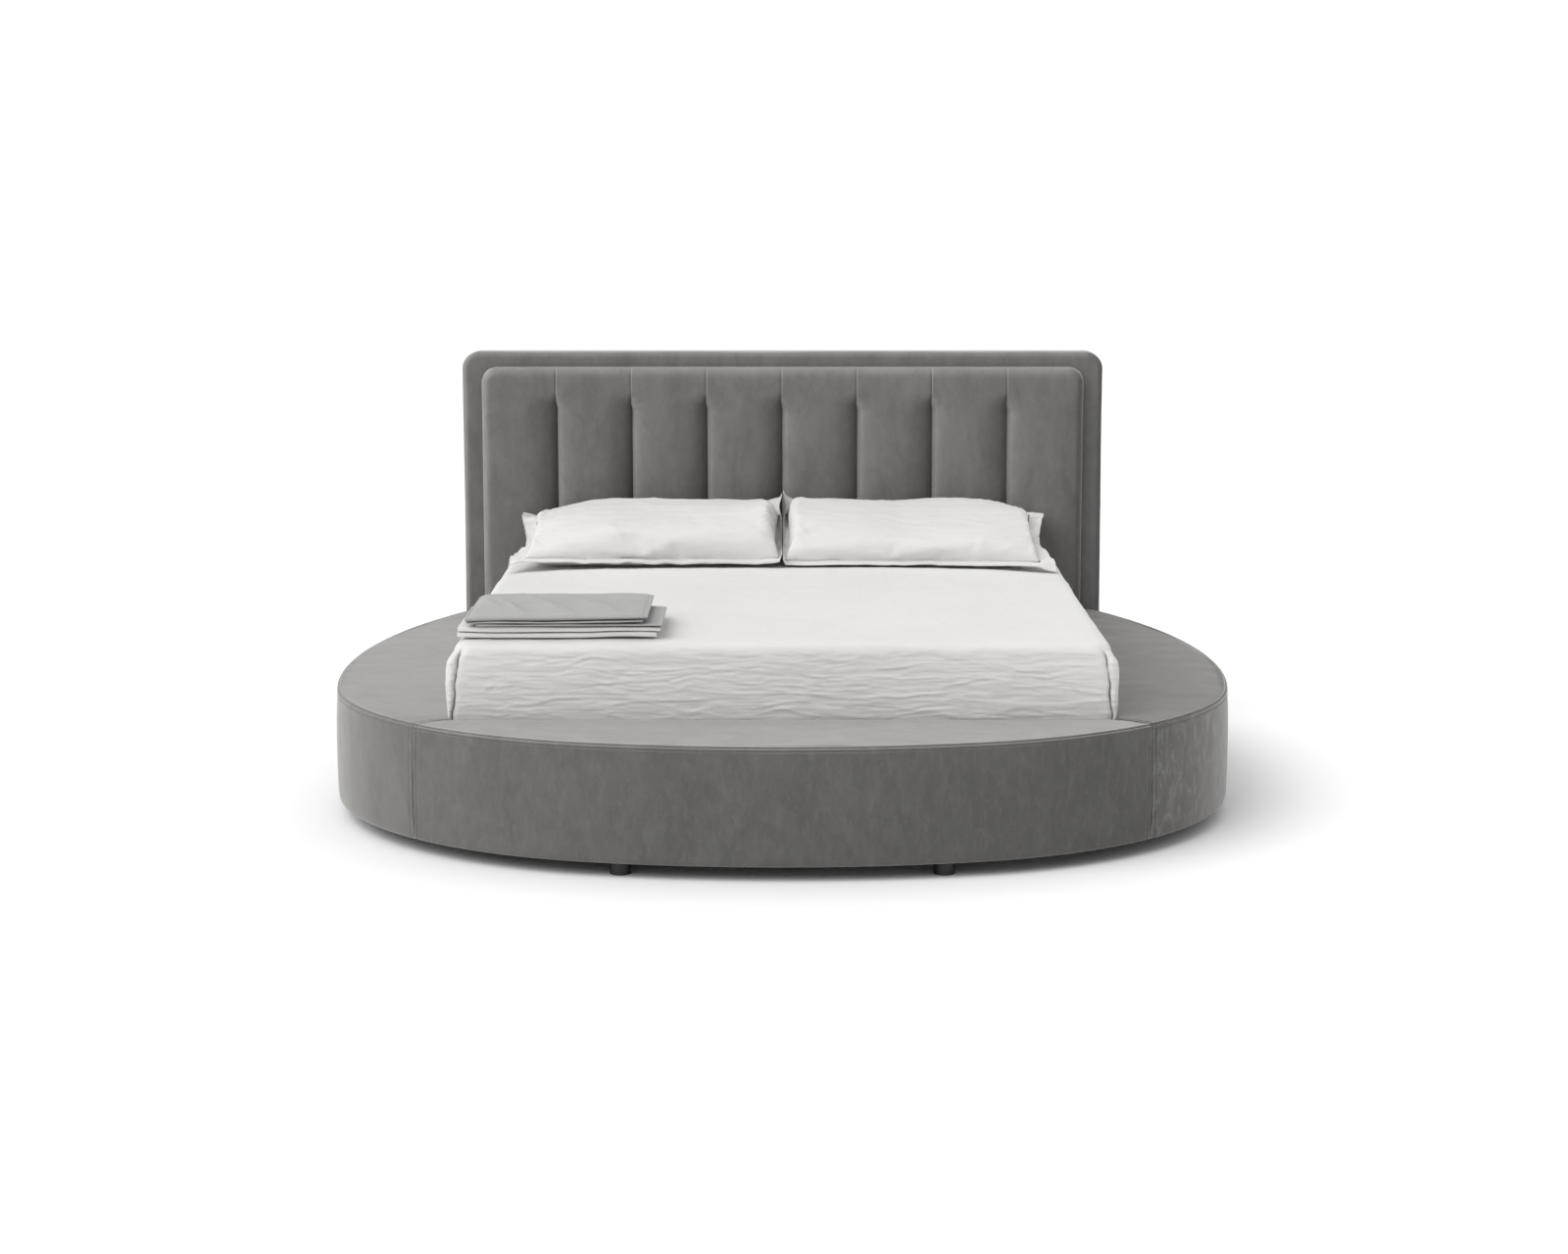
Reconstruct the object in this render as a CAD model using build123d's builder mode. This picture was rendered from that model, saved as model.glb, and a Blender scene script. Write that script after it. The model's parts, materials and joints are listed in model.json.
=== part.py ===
"""Round upholstered bed: a three-module base round a mattress well, and a channelled headboard.

Millimetres, +Z up. The origin is on the floor at the middle of the bed's footprint, the headboard
is at +Y and the foot end at -Y.
"""

import os
from math import cos, hypot, radians, sin, sqrt, tan

from build123d import *

os.makedirs("parts", exist_ok=True)

# Mattress, and its gaps to the headboard and to the well's sides and foot.
mattress_width = 1800.0
mattress_length = 2000.0
mattress_thickness = 254.0
mattress_corner = 35.0
mattress_bevel = 9.0
mattress_gap = 75.0
well_side_gap = 30.0
well_foot_gap = 25.0

# Plan of the round base: how far it spreads round the well, how far its side draws in towards the
# headboard, and how far its front falls back beside the well. The seams between the left, front
# and right modules run out from the well's corners.
side_apron = 422.0
front_apron = 411.0
head_draw_in = 266.0
front_fall = 205.0
widest_share = 0.466
seam_depth = 118.0
seam_angle = 35.0

# Heights of the base above the floor.
wall_bottom = 41.0
base_top = 370.0

# Upholstery of the base, from the outside in.
skin = 3.0
rim_rounding = 14.0
lip_depth = 60.0
hem_width = 30.0
wall_foam = 15.0
top_foam = 30.0

# Timber inside the base.
board_thickness = 18.0
wall_ply = 12.0
rail_thickness = 25.0
side_rib_shares = (0.12, 0.36, 0.6, 0.82)
front_rib_shares = (-0.82, -0.28, 0.28, 0.82)

# Feet under the base.
foot_diameter = 58.0
front_foot_inset = 68.0
side_foot_inset = 112.0
inner_foot_inset = 60.0
front_foot_spread = 440.0
side_foot_shares = (0.12, 0.45, 0.7)
inner_foot_share = 0.45

# Bolts between the modules, and from the base into the headboard.
bolt_diameter = 8.0
bolt_clearance = 0.5
bolt_head = 13.0
bolt_head_height = 5.5
washer_width = 18.0
washer_thickness = 2.0
seam_bolt_share = 0.45
head_bolt_share = 0.45

# Ledge strips in the well that carry the slat frame.
ledge_width = 30.0
ledge_height = 40.0
ledge_gap = 2.0
slat_frame_bottom = 245.0

# Slat frame.
frame_clearance = 8.0
tube_width = 40.0
tube_height = 50.0
tube_wall = 2.0
slat_count = 13
slat_width = 53.0
slat_thickness = 8.0
slat_camber = 12.0
slat_grip = 28.0
holder_height = 14.0
holder_wall = 3.0
holder_end_wall = 8.0
holder_clearance = 0.4
centre_holder_length = 80.0
centre_leg_width = 40.0
centre_leg_shares = (0.2, 0.5, 0.8)

# Headboard, outer panel, and how far it reaches out past the well on each side.
headboard_overlap = 170.0
headboard_top = 1262.0
headboard_depth = 100.0
headboard_corner = 58.0
headboard_rounding = 20.0
headboard_foam = 38.0
headboard_side_foam = 8.0
headboard_ply = 12.0
back_cloth = 2.0
batten_width = 60.0
batten_shares = (-0.33, 0.33)
headboard_foot_width = 40.0
headboard_foot_share = 0.7

# Headboard, proud inner panel with upright channels, within a margin of the outer panel.
panel_side_margin = 71.0
panel_top_margin = 52.0
panel_gap = 2.0
panel_depth = 62.0
panel_corner = 50.0
panel_rounding = 24.0
panel_board = 12.0
panel_wrap = 6.0
channel_count = 8
channel_dip = 16.0
channel_top_dip = 3.0
channel_fade = 95.0

# Linen cover over the mattress.
cover_top = 15.0
cover_side = 20.0
cover_rounding = 34.0
cover_tuck = 40.0
pleat_bulge = 22.0
pleat_length = 170.0
pleat_setback = 4.0
pleat_share = 0.7
pleat_bottom = 8.0

# Pillows: a crowned filling with drawn-in sides, and a flat flange round it.
pillow_length = 800.0
pillow_depth = 500.0
pillow_thickness = 165.0
pillow_flange = 50.0
flange_thickness = 4.0
pillow_gap = 4.0
pillow_setback = 310.0
pillow_rise = 77.0
pillow_tilt = 11.5
flange_draw = 12.0
swell_share = 0.72

# Folded linen on the left foot corner, from the bed up. Each: its setback from the cover's left
# side and from its foot end, its width and depth, and the thickness of its folded layers.
folded_sheet_setback = (1.0, 60.0)
folded_sheet_size = (580.0, 410.0)
folded_sheet_layers = (18.0, 17.0)
folded_case_setback = (60.0, 50.0)
folded_case_size = (525.0, 340.0)
folded_case_layers = (9.0,)
folded_cover_setback = (28.0, 44.0)
folded_cover_size = (517.0, 446.0)
folded_cover_layers = (12.0, 11.0)
fold_share = 0.45

# Gap between things that only rest on each other.
rest_gap = 0.3
overrun = 10.0

# Length of a 45 degree bevel that touches an arc, as a share of the arc's radius.
bevel_share = 2 - sqrt(2)

# Places worked out from the sizes above. Each reach is measured forward from the headboard.
half_well = mattress_width / 2 + well_side_gap
well_reach = mattress_gap + mattress_length + well_foot_gap
half_width = half_well + side_apron
front_reach = well_reach + front_apron
widest_reach = front_reach * widest_share
side_radius = (widest_reach**2 + head_draw_in**2) / (2 * head_draw_in)
front_radius = (half_well**2 + front_fall**2) / (2 * front_fall)
head_y = (front_reach - headboard_depth) / 2
well_front_y = head_y - well_reach
side_centre = (half_width - side_radius, head_y - widest_reach)
front_centre = (0, head_y - front_reach + front_radius)
board_inset = skin + wall_foam
inner_inset = board_inset + wall_ply
rail_inset = skin + rail_thickness
floor_board_z = wall_bottom + skin
rib_z = floor_board_z + board_thickness
top_board_z = base_top - skin - top_foam - board_thickness
rib_height = top_board_z - rib_z
frame_half_width = half_well + skin - frame_clearance
frame_head_y = head_y - rail_thickness - frame_clearance
frame_foot_y = well_front_y - skin + frame_clearance
frame_length = frame_head_y - frame_foot_y
frame_top = slat_frame_bottom + tube_height
slat_z = frame_top + holder_wall
slat_crown = slat_z + slat_camber + slat_thickness
mattress_z = slat_crown + rest_gap
mattress_top = mattress_z + mattress_thickness
mattress_y = head_y - mattress_gap - mattress_length / 2
bed_top = mattress_top + cover_top
bed_side = mattress_width / 2 + cover_side
bed_foot_y = mattress_y - mattress_length / 2 - cover_top
headboard_width = 2 * (half_well + headboard_overlap)
panel_width = headboard_width - 2 * panel_side_margin
panel_top = headboard_top - panel_top_margin
channel_width = panel_width / channel_count
panel_bottom = base_top + panel_gap
seam_bolt_z = rib_z + rib_height * seam_bolt_share
head_bolt_z = rib_z + rib_height * head_bolt_share


def seam_end():
    """Where a module seam comes out at the wall, on the right side of the bed."""
    x = half_well + seam_depth * cos(radians(seam_angle))
    return x, well_front_y - seam_depth * sin(radians(seam_angle))


def corner_arc():
    """Centre and radius of the arc through the seam's end that the side and front arcs touch.

    Its centre lies on a line in its radius, start + step * radius, and the distance to the
    seam's end fixes that radius.
    """
    end = seam_end()
    rows = []
    for centre, radius in ((side_centre, side_radius), (front_centre, front_radius)):
        known = radius**2 - hypot(*centre) ** 2 + hypot(*end) ** 2
        rows.append((2 * (end[0] - centre[0]), 2 * (end[1] - centre[1]), known, -2 * radius))
    (side_x, side_y, side_known, side_step), (front_x, front_y, front_known, front_step) = rows
    cross = side_x * front_y - side_y * front_x
    start_x = (side_known * front_y - front_known * side_y) / cross - end[0]
    start_y = (side_x * front_known - front_x * side_known) / cross - end[1]
    step_x = (side_step * front_y - front_step * side_y) / cross
    step_y = (side_x * front_step - front_x * side_step) / cross
    square = step_x**2 + step_y**2 - 1
    half = start_x * step_x + start_y * step_y
    rest = start_x**2 + start_y**2
    radius = (-half + sqrt(half**2 - square * rest)) / square
    return (end[0] + start_x + step_x * radius, end[1] + start_y + step_y * radius), radius


corner_centre, corner_radius = corner_arc()


def arc_touch(centre, radius):
    """Where an arc of the outline, about centre, meets the corner arc."""
    towards = corner_centre
    span = hypot(towards[0] - centre[0], towards[1] - centre[1])
    x = centre[0] + radius * (towards[0] - centre[0]) / span
    y = centre[1] + radius * (towards[1] - centre[1]) / span
    return x, y


def rim_x(y, inset):
    """Half the base's width at y, at an inset from its wall."""
    side_end = arc_touch(side_centre, side_radius - inset)
    centre, radius = side_centre, side_radius - inset
    if y < side_end[1]:
        centre, radius = corner_centre, corner_radius - inset
    return centre[0] + sqrt(radius**2 - (y - centre[1]) ** 2)


def rim_front_y(x, inset):
    """How far forward the front arc comes at x, at an inset from the wall."""
    return front_centre[1] - sqrt((front_radius - inset) ** 2 - x**2)


def base_outline(inset, head_inset):
    """Outline of the whole base: three tangent arcs a side, closed along the headboard."""
    head_line = head_y - head_inset
    head_end = (rim_x(head_line, inset), head_line)
    side_end = arc_touch(side_centre, side_radius - inset)
    front_end = arc_touch(front_centre, front_radius - inset)
    foot_end = (0, rim_front_y(0, inset))
    with BuildSketch() as plan:
        with BuildLine():
            RadiusArc(head_end, side_end, side_radius - inset)
            RadiusArc(side_end, front_end, corner_radius - inset)
            RadiusArc(front_end, foot_end, front_radius - inset)
            Line(foot_end, (0, head_line))
            Line((0, head_line), head_end)
        make_face()
        mirror(about=Plane.YZ)
    return plan.sketch


def seam_y(x, gap):
    """The module seam's line on the right side of the bed, moved by gap across itself."""
    slope = tan(radians(seam_angle))
    return well_front_y + (half_well - x) * slope + gap / cos(radians(seam_angle))


def module_corners(module, end_inset):
    """Corners of the slice of the plan that one module takes."""
    far = 2 * half_width
    if module == "front":
        edge = seam_y(far, -end_inset)
        return [(0, seam_y(0, -end_inset)), (far, edge), (far, -2 * far), (-far, -2 * far), (-far, edge)]
    side = 1 if module == "right" else -1
    edge = seam_y(far, end_inset)
    return [(0, seam_y(0, end_inset)), (side * far, edge), (side * far, head_y), (0, head_y)]


def module_plan(module, inset, end_inset, well_inset):
    """Plan of one module, set in from its wall, from its end faces and from the well."""
    outline = base_outline(inset, end_inset)
    reach = well_reach + well_inset
    with BuildSketch() as plan:
        add(outline)
        with Locations((0, head_y)):
            Rectangle(2 * (half_well + well_inset), 2 * reach, mode=Mode.SUBTRACT)
        Polygon(*module_corners(module, end_inset), align=None, mode=Mode.INTERSECT)
    return plan.sketch


def slab(plan, bottom, top):
    """Solid between two heights over a plan."""
    with BuildPart() as piece:
        with BuildSketch(Plane.XY.offset(bottom)):
            add(plan)
        extrude(amount=top - bottom)
    return piece.part


def rim_edges(piece):
    """Upper edges of a slab, apart from those along the well and the headboard."""
    upper = piece.edges().group_by(Axis.Z)[-1]
    return upper - upper.filter_by(Axis.X) - upper.filter_by(Axis.Y)


def bevelled_slab(plan, bottom, top, rounding):
    """Slab with a bevelled rim that just touches the arc of a rounding."""
    with BuildPart() as piece:
        add(slab(plan, bottom, top))
        chamfer(rim_edges(piece), length=rounding * bevel_share)
    return piece.part


def cylinder_along(plane, diameter, length):
    """Round bar from a plane, forward along its normal."""
    with BuildPart() as bar:
        with BuildSketch(plane):
            Circle(diameter / 2)
        extrude(amount=length)
    return bar.part


def seam_plane(side, start):
    """Plane across a module seam's bolt, start behind the seam, looking to the side module."""
    run = (cos(radians(seam_angle)), -sin(radians(seam_angle)))
    across = (sin(radians(seam_angle)), cos(radians(seam_angle)))
    middle = (rail_inset + seam_depth - inner_inset) / 2
    x = half_well + run[0] * middle - across[0] * start
    y = well_front_y + run[1] * middle - across[1] * start
    return Plane(origin=(side * x, y, seam_bolt_z), z_dir=(side * across[0], across[1], 0))


def head_bolt_x():
    """Middle of the strip where the base's head panel and the headboard's bare board overlap."""
    panel_edge = rim_x(head_y, inner_inset)
    board_clear = headboard_width / 2 - board_edge - batten_width
    return (half_well + rail_inset + min(panel_edge, board_clear)) / 2


def head_plane(side, start):
    """Plane across a headboard bolt, start in front of the headboard, looking backwards."""
    return Plane(origin=(side * head_bolt_x(), head_y - start, head_bolt_z), z_dir=(0, 1, 0))


board_edge = skin + headboard_side_foam
seam_grip = skin + board_thickness
head_grip_front = skin + board_thickness
head_grip_back = skin + headboard_foam + headboard_ply


def bolt_holes():
    """Clearance holes of every bolt, as bars to cut with."""
    bore = bolt_diameter + 2 * bolt_clearance
    with BuildPart() as bars:
        for side in (-1, 1):
            seam_start = seam_plane(side, seam_grip + overrun)
            add(cylinder_along(seam_start, bore, 2 * (seam_grip + overrun)))
            head_start = head_plane(side, head_grip_front + overrun)
            add(cylinder_along(head_start, bore, head_grip_front + head_grip_back + 2 * overrun))
    return bars.part


holes = bolt_holes()


def bolt_at(place, front_grip, back_grip):
    """Hexagon bolt with a square washer under its head and its nut, clamping two panels."""
    under_head = front_grip + washer_thickness
    with BuildPart() as bolt:
        for start in (under_head, -back_grip):
            with BuildSketch(place(start)):
                Rectangle(washer_width, washer_width)
            extrude(amount=washer_thickness)
        for start in (under_head + bolt_head_height, -back_grip - washer_thickness):
            with BuildSketch(place(start)):
                RegularPolygon(bolt_head / 2, 6)
            extrude(amount=bolt_head_height)
        shank = under_head + back_grip + washer_thickness + bolt_head_height
        add(cylinder_along(place(under_head), bolt_diameter, shank))
    return bolt.part


def foot_places(module):
    """Middles of the feet under one module."""
    if module == "front":
        inner_y = well_front_y - skin - inner_foot_inset
        front_y = rim_front_y(front_foot_spread, front_foot_inset)
        return [(x, y) for x in (-front_foot_spread, front_foot_spread) for y in (front_y, inner_y)]
    side = 1 if module == "right" else -1
    outer_ys = [head_y - front_reach * share for share in side_foot_shares]
    inner_foot = (side * (half_well + skin + inner_foot_inset), head_y - front_reach * inner_foot_share)
    return [(side * rim_x(y, side_foot_inset), y) for y in outer_ys] + [inner_foot]


def base_cover(module):
    """Velvet cover: wall, top, end faces, lip down into the well and hem under the edge."""
    outer = module_plan(module, 0, 0, 0)
    lined = module_plan(module, skin, skin, skin)
    well_half = half_well + skin
    well_sides = ((-well_half, well_half), (well_front_y - skin, head_y))
    open_below = module_plan(module, hem_width, hem_width, -overrun)
    body = bevelled_slab(outer, wall_bottom, base_top, rim_rounding)
    space = bevelled_slab(lined, floor_board_z, base_top - skin, rim_rounding - skin)
    with BuildPart() as cover:
        add(body)
        add(space, mode=Mode.SUBTRACT)
        add(strip(*well_sides, (wall_bottom, base_top - lip_depth)), mode=Mode.SUBTRACT)
        add(slab(open_below, wall_bottom - overrun, floor_board_z), mode=Mode.SUBTRACT)
        add(holes, mode=Mode.SUBTRACT)
    return cover.part


def base_foam(module):
    """Foam over the top board and down the curved wall."""
    lined = module_plan(module, skin, skin, skin)
    timber = module_plan(module, board_inset, skin, skin)
    body = bevelled_slab(lined, floor_board_z, base_top - skin, rim_rounding - skin)
    with BuildPart() as foam:
        add(body)
        add(slab(timber, floor_board_z, top_board_z + board_thickness), mode=Mode.SUBTRACT)
    return foam.part


def outer_wall(module):
    """Bent plywood wall between the bottom board and the top board."""
    with BuildPart() as wall:
        add(slab(module_plan(module, board_inset, skin, skin), rib_z, top_board_z))
        inside = module_plan(module, inner_inset, skin, skin)
        add(slab(inside, rib_z, top_board_z), mode=Mode.SUBTRACT)
    return wall.part


def top_board(module):
    """Top board of a module."""
    plan = module_plan(module, board_inset, skin, skin)
    return slab(plan, top_board_z, top_board_z + board_thickness)


def bottom_board(module):
    """Bottom board of a module."""
    return slab(module_plan(module, board_inset, skin, skin), floor_board_z, rib_z)


def well_rail(module):
    """Upright board along one side of the well."""
    with BuildPart() as rail:
        add(slab(module_plan(module, inner_inset, skin, skin), rib_z, top_board_z))
        behind = module_plan(module, inner_inset, skin, rail_inset)
        add(slab(behind, rib_z, top_board_z), mode=Mode.SUBTRACT)
    return rail.part


def head_rail():
    """Board across the head of the well, between the side modules' rails."""
    with BuildPart() as rail:
        with BuildSketch(Plane.XY.offset(floor_board_z)):
            with Locations((0, head_y)):
                Rectangle(2 * (half_well + skin), rail_thickness, align=(Align.CENTER, Align.MAX))
        extrude(amount=base_top - lip_depth - floor_board_z)
    return rail.part


def rib_strips():
    """Strips of the plan that the upright ribs stand in, straight across the base."""
    wide = 2 * half_width
    deep = 2 * front_reach
    with BuildSketch() as strips:
        with Locations(*[(0, head_y - well_reach * share) for share in side_rib_shares]):
            Rectangle(wide, board_thickness)
        with Locations(*[(half_well * share, 0) for share in front_rib_shares]):
            Rectangle(board_thickness, deep)
    return strips.sketch


def module_ribs(module):
    """Ribs and end panels inside one module."""
    plan = module_plan(module, inner_inset, skin, rail_inset)
    between_ends = module_plan(module, inner_inset, skin + board_thickness, rail_inset)
    strips = rib_strips()
    with BuildSketch() as rows:
        add(strips)
        if module == "front":
            with Locations((0, head_y)):
                Rectangle(2 * half_width, 2 * well_reach, mode=Mode.SUBTRACT)
        else:
            with Locations((0, well_front_y)):
                Rectangle(2 * half_width, front_reach, align=(Align.CENTER, Align.MAX), mode=Mode.SUBTRACT)
        add(plan, mode=Mode.INTERSECT)
    with BuildSketch() as ends:
        add(plan)
        add(between_ends, mode=Mode.SUBTRACT)
    with BuildPart() as ribs:
        add(slab(rows.sketch, rib_z, top_board_z))
        add(slab(ends.sketch, rib_z, top_board_z))
        add(holes, mode=Mode.SUBTRACT)
    return ribs.part


def round_foot(x, y):
    """Round foot between the floor and a module's bottom board."""
    return cylinder_along(Plane(origin=(x, y, 0), z_dir=(0, 0, 1)), foot_diameter, floor_board_z)


def square_leg(x, y, width, top):
    """Square leg that stands on the floor."""
    return strip((x - width / 2, x + width / 2), (y - width / 2, y + width / 2), (0, top))


def strip(x_sides, y_sides, z_sides):
    """Straight timber between pairs of places."""
    with BuildPart() as piece:
        with BuildSketch(Plane.XY.offset(z_sides[0])):
            with Locations(((x_sides[0] + x_sides[1]) / 2, (y_sides[0] + y_sides[1]) / 2)):
                Rectangle(abs(x_sides[1] - x_sides[0]), abs(y_sides[1] - y_sides[0]))
        extrude(amount=z_sides[1] - z_sides[0])
    return piece.part


def slat_ledges():
    """Strips screwed to the well rails, which the slat frame lies on."""
    outer_x = half_well + skin
    inner_x = outer_x - ledge_width
    back_y = head_y - rail_thickness
    front_y = well_front_y - skin
    heights = (slat_frame_bottom - ledge_height, slat_frame_bottom)
    with BuildPart() as ledges:
        for side in (-1, 1):
            add(strip((side * inner_x, side * outer_x), (front_y, back_y), heights))
        cross_x = inner_x - ledge_gap
        add(strip((-cross_x, cross_x), (back_y - ledge_width, back_y), heights))
        add(strip((-cross_x, cross_x), (front_y, front_y + ledge_width), heights))
    return ledges.part


def tube(plane, length):
    """Rectangular steel tube from a plane, forward along its normal."""
    with BuildPart() as piece:
        with BuildSketch(plane):
            Rectangle(tube_width, tube_height)
            Rectangle(tube_width - 2 * tube_wall, tube_height - 2 * tube_wall, mode=Mode.SUBTRACT)
        extrude(amount=length)
    return piece.part


def lengthwise_tube(x, margin):
    """Tube of the slat frame that runs from head to foot."""
    middle_z = slat_frame_bottom + tube_height / 2
    start = Plane(origin=(x, frame_foot_y + margin, middle_z), x_dir=(1, 0, 0), z_dir=(0, 1, 0))
    return tube(start, frame_length - 2 * margin)


def cross_tube(y):
    """Tube of the slat frame that runs from side to side."""
    half_span = frame_half_width - tube_width
    middle_z = slat_frame_bottom + tube_height / 2
    start = Plane(origin=(-half_span, y, middle_z), x_dir=(0, 1, 0), z_dir=(1, 0, 0))
    return tube(start, 2 * half_span)


def slat_ys():
    """Middles of the slats from foot to head."""
    first = frame_foot_y + tube_width + slat_width
    last = frame_head_y - tube_width - slat_width
    pitch = (last - first) / (slat_count - 1)
    return [first + pitch * number for number in range(slat_count)]


slat_outer_x = frame_half_width - holder_end_wall - holder_clearance
slat_inner_x = centre_holder_length / 2 - slat_grip


def slat(side, y):
    """Sprung slat: straight ends in its holders and an upward bow between them."""
    start = slat_inner_x
    bow_start = centre_holder_length / 2
    bow_end = frame_half_width - tube_width
    end = slat_outer_x
    middle = (bow_start + bow_end) / 2
    plane = Plane(origin=(0, y + slat_width / 2, slat_z), x_dir=(side, 0, 0), z_dir=(0, -side, 0))
    depth = slat_width * side
    with BuildPart() as piece:
        with BuildSketch(plane):
            with BuildLine():
                Line((start, 0), (bow_start, 0))
                ThreePointArc((bow_start, 0), (middle, slat_camber), (bow_end, 0))
                Line((bow_end, 0), (end, 0))
                Line((end, 0), (end, slat_thickness))
                Line((end, slat_thickness), (bow_end, slat_thickness))
                crown = (middle, slat_camber + slat_thickness)
                ThreePointArc((bow_end, slat_thickness), crown, (bow_start, slat_thickness))
                Line((bow_start, slat_thickness), (start, slat_thickness))
                Line((start, slat_thickness), (start, 0))
            make_face()
        extrude(amount=depth)
    return piece.part


def slat_row(side):
    """All slats of one side of the bed."""
    with BuildPart() as row:
        for y in slat_ys():
            add(slat(side, y))
    return row.part


def slot(x_sides, y):
    """Room for a slat's end in a holder, with clearance all round."""
    half = slat_width / 2 + holder_clearance
    heights = (slat_z - holder_clearance, slat_z + slat_thickness + holder_clearance)
    return strip(x_sides, (y - half, y + half), heights)


def side_holders(side):
    """Plastic holders on one side tube, each open towards the middle of the bed."""
    outer_x = frame_half_width
    inner_x = frame_half_width - tube_width
    half = slat_width / 2 + holder_clearance + holder_wall
    heights = (frame_top, frame_top + holder_height)
    with BuildPart() as row:
        for y in slat_ys():
            add(strip((side * inner_x, side * outer_x), (y - half, y + half), heights))
            slot_end = outer_x - holder_end_wall
            slot_start = inner_x - overrun
            add(slot((side * slot_start, side * slot_end), y), mode=Mode.SUBTRACT)
    return row.part


def centre_holders():
    """Double plastic holders on the centre tube."""
    outer_x = centre_holder_length / 2
    half = slat_width / 2 + holder_clearance + holder_wall
    heights = (frame_top, frame_top + holder_height)
    slot_end = slat_inner_x - holder_clearance
    with BuildPart() as row:
        for y in slat_ys():
            add(strip((-outer_x, outer_x), (y - half, y + half), heights))
            for side in (-1, 1):
                sides = (side * slot_end, side * (outer_x + overrun))
                add(slot(sides, y), mode=Mode.SUBTRACT)
    return row.part


def centre_legs():
    """Legs under the slat frame's centre tube."""
    with BuildPart() as legs:
        for share in centre_leg_shares:
            y = frame_foot_y + frame_length * share
            add(square_leg(0, y, centre_leg_width, slat_frame_bottom))
    return legs.part


def panel_outline(width, bottom, top, corner):
    """Upright panel with its two upper corners rounded, drawn in the XZ plane."""
    with BuildSketch() as outline:
        with Locations((0, bottom)):
            Rectangle(width, top - bottom, align=(Align.CENTER, Align.MIN))
        fillet(outline.vertices().group_by(Axis.Y)[-1], radius=corner)
    return outline.sketch


def upright_slab(outline, front_y, back_y):
    """Solid between two depths over an upright outline."""
    plane = Plane(origin=(0, front_y, 0), x_dir=(-1, 0, 0), z_dir=(0, 1, 0))
    with BuildPart() as piece:
        with BuildSketch(plane):
            add(outline)
        extrude(amount=back_y - front_y)
    return piece.part


def front_edges(piece):
    """Front edges of an upright slab, apart from the bottom one."""
    front = piece.edges().group_by(Axis.Y)[0]
    return front - front.group_by(Axis.Z)[0]


def rounded_upright_slab(outline, front_y, back_y, rounding):
    """Upright slab with rounded front edges."""
    with BuildPart() as piece:
        add(upright_slab(outline, front_y, back_y))
        fillet(front_edges(piece), radius=rounding)
    return piece.part


def headboard_outline(inset):
    """Outer panel's outline at an inset from its sides and top."""
    width = headboard_width - 2 * inset
    return panel_outline(width, wall_bottom, headboard_top - inset, headboard_corner - inset)


foam_back_y = head_y + skin + headboard_foam
batten_y = foam_back_y + headboard_ply
cloth_y = head_y + headboard_depth - back_cloth


def headboard_core():
    """Space inside the headboard's velvet cover, bevelled just within the cover's rounding."""
    back = head_y + headboard_depth
    with BuildPart() as core:
        add(upright_slab(headboard_outline(skin), head_y + skin, back))
        chamfer(front_edges(core), length=(headboard_rounding - skin) * bevel_share)
    return core.part


def headboard_cover():
    """Velvet over the headboard's front, top and sides, open at the back and below."""
    back = head_y + headboard_depth
    with BuildPart() as cover:
        add(rounded_upright_slab(headboard_outline(0), head_y, back, headboard_rounding))
        add(headboard_core(), mode=Mode.SUBTRACT)
        add(holes, mode=Mode.SUBTRACT)
    return cover.part


def headboard_padding():
    """Foam over the headboard's front and round its edges."""
    back = head_y + headboard_depth
    with BuildPart() as foam:
        add(headboard_core())
        add(upright_slab(headboard_outline(board_edge), foam_back_y, back), mode=Mode.SUBTRACT)
        add(upright_slab(headboard_outline(0), cloth_y, back + overrun), mode=Mode.SUBTRACT)
        add(holes, mode=Mode.SUBTRACT)
    return foam.part


def headboard_board():
    """Plywood that the headboard's foam is glued to."""
    with BuildPart() as board:
        add(upright_slab(headboard_outline(board_edge), foam_back_y, batten_y))
        add(holes, mode=Mode.SUBTRACT)
    return board.part


def headboard_battens():
    """Timber frame behind the board: a border and two uprights."""
    with BuildPart() as frame:
        add(upright_slab(headboard_outline(board_edge), batten_y, cloth_y))
        inset = board_edge + batten_width
        opening_width = headboard_width - 2 * inset
        opening_bottom = wall_bottom + batten_width
        opening = strip(
            (-opening_width / 2, opening_width / 2),
            (batten_y, cloth_y),
            (opening_bottom, headboard_top - inset),
        )
        add(opening, mode=Mode.SUBTRACT)
        for share in batten_shares:
            middle = headboard_width * share
            sides = (middle - batten_width / 2, middle + batten_width / 2)
            add(strip(sides, (batten_y, cloth_y), (opening_bottom, headboard_top - inset)))
    return frame.part


def headboard_back_cloth():
    """Thin cloth stapled over the back of the frame."""
    return upright_slab(headboard_outline(skin), cloth_y, head_y + headboard_depth)


def headboard_feet():
    """Two feet under the headboard's frame."""
    y = (batten_y + cloth_y) / 2
    with BuildPart() as feet:
        for side in (-1, 1):
            x = side * headboard_width / 2 * headboard_foot_share
            add(square_leg(x, y, headboard_foot_width, wall_bottom))
    return feet.part


def channel_board():
    """Board at the back of the channelled panel, wrapped by the outer channels."""
    inset = 2 * panel_wrap
    corner = panel_corner - panel_wrap
    outline = panel_outline(panel_width - inset, panel_bottom, panel_top - panel_wrap, corner)
    return upright_slab(outline, head_y - panel_board, head_y)


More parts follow.
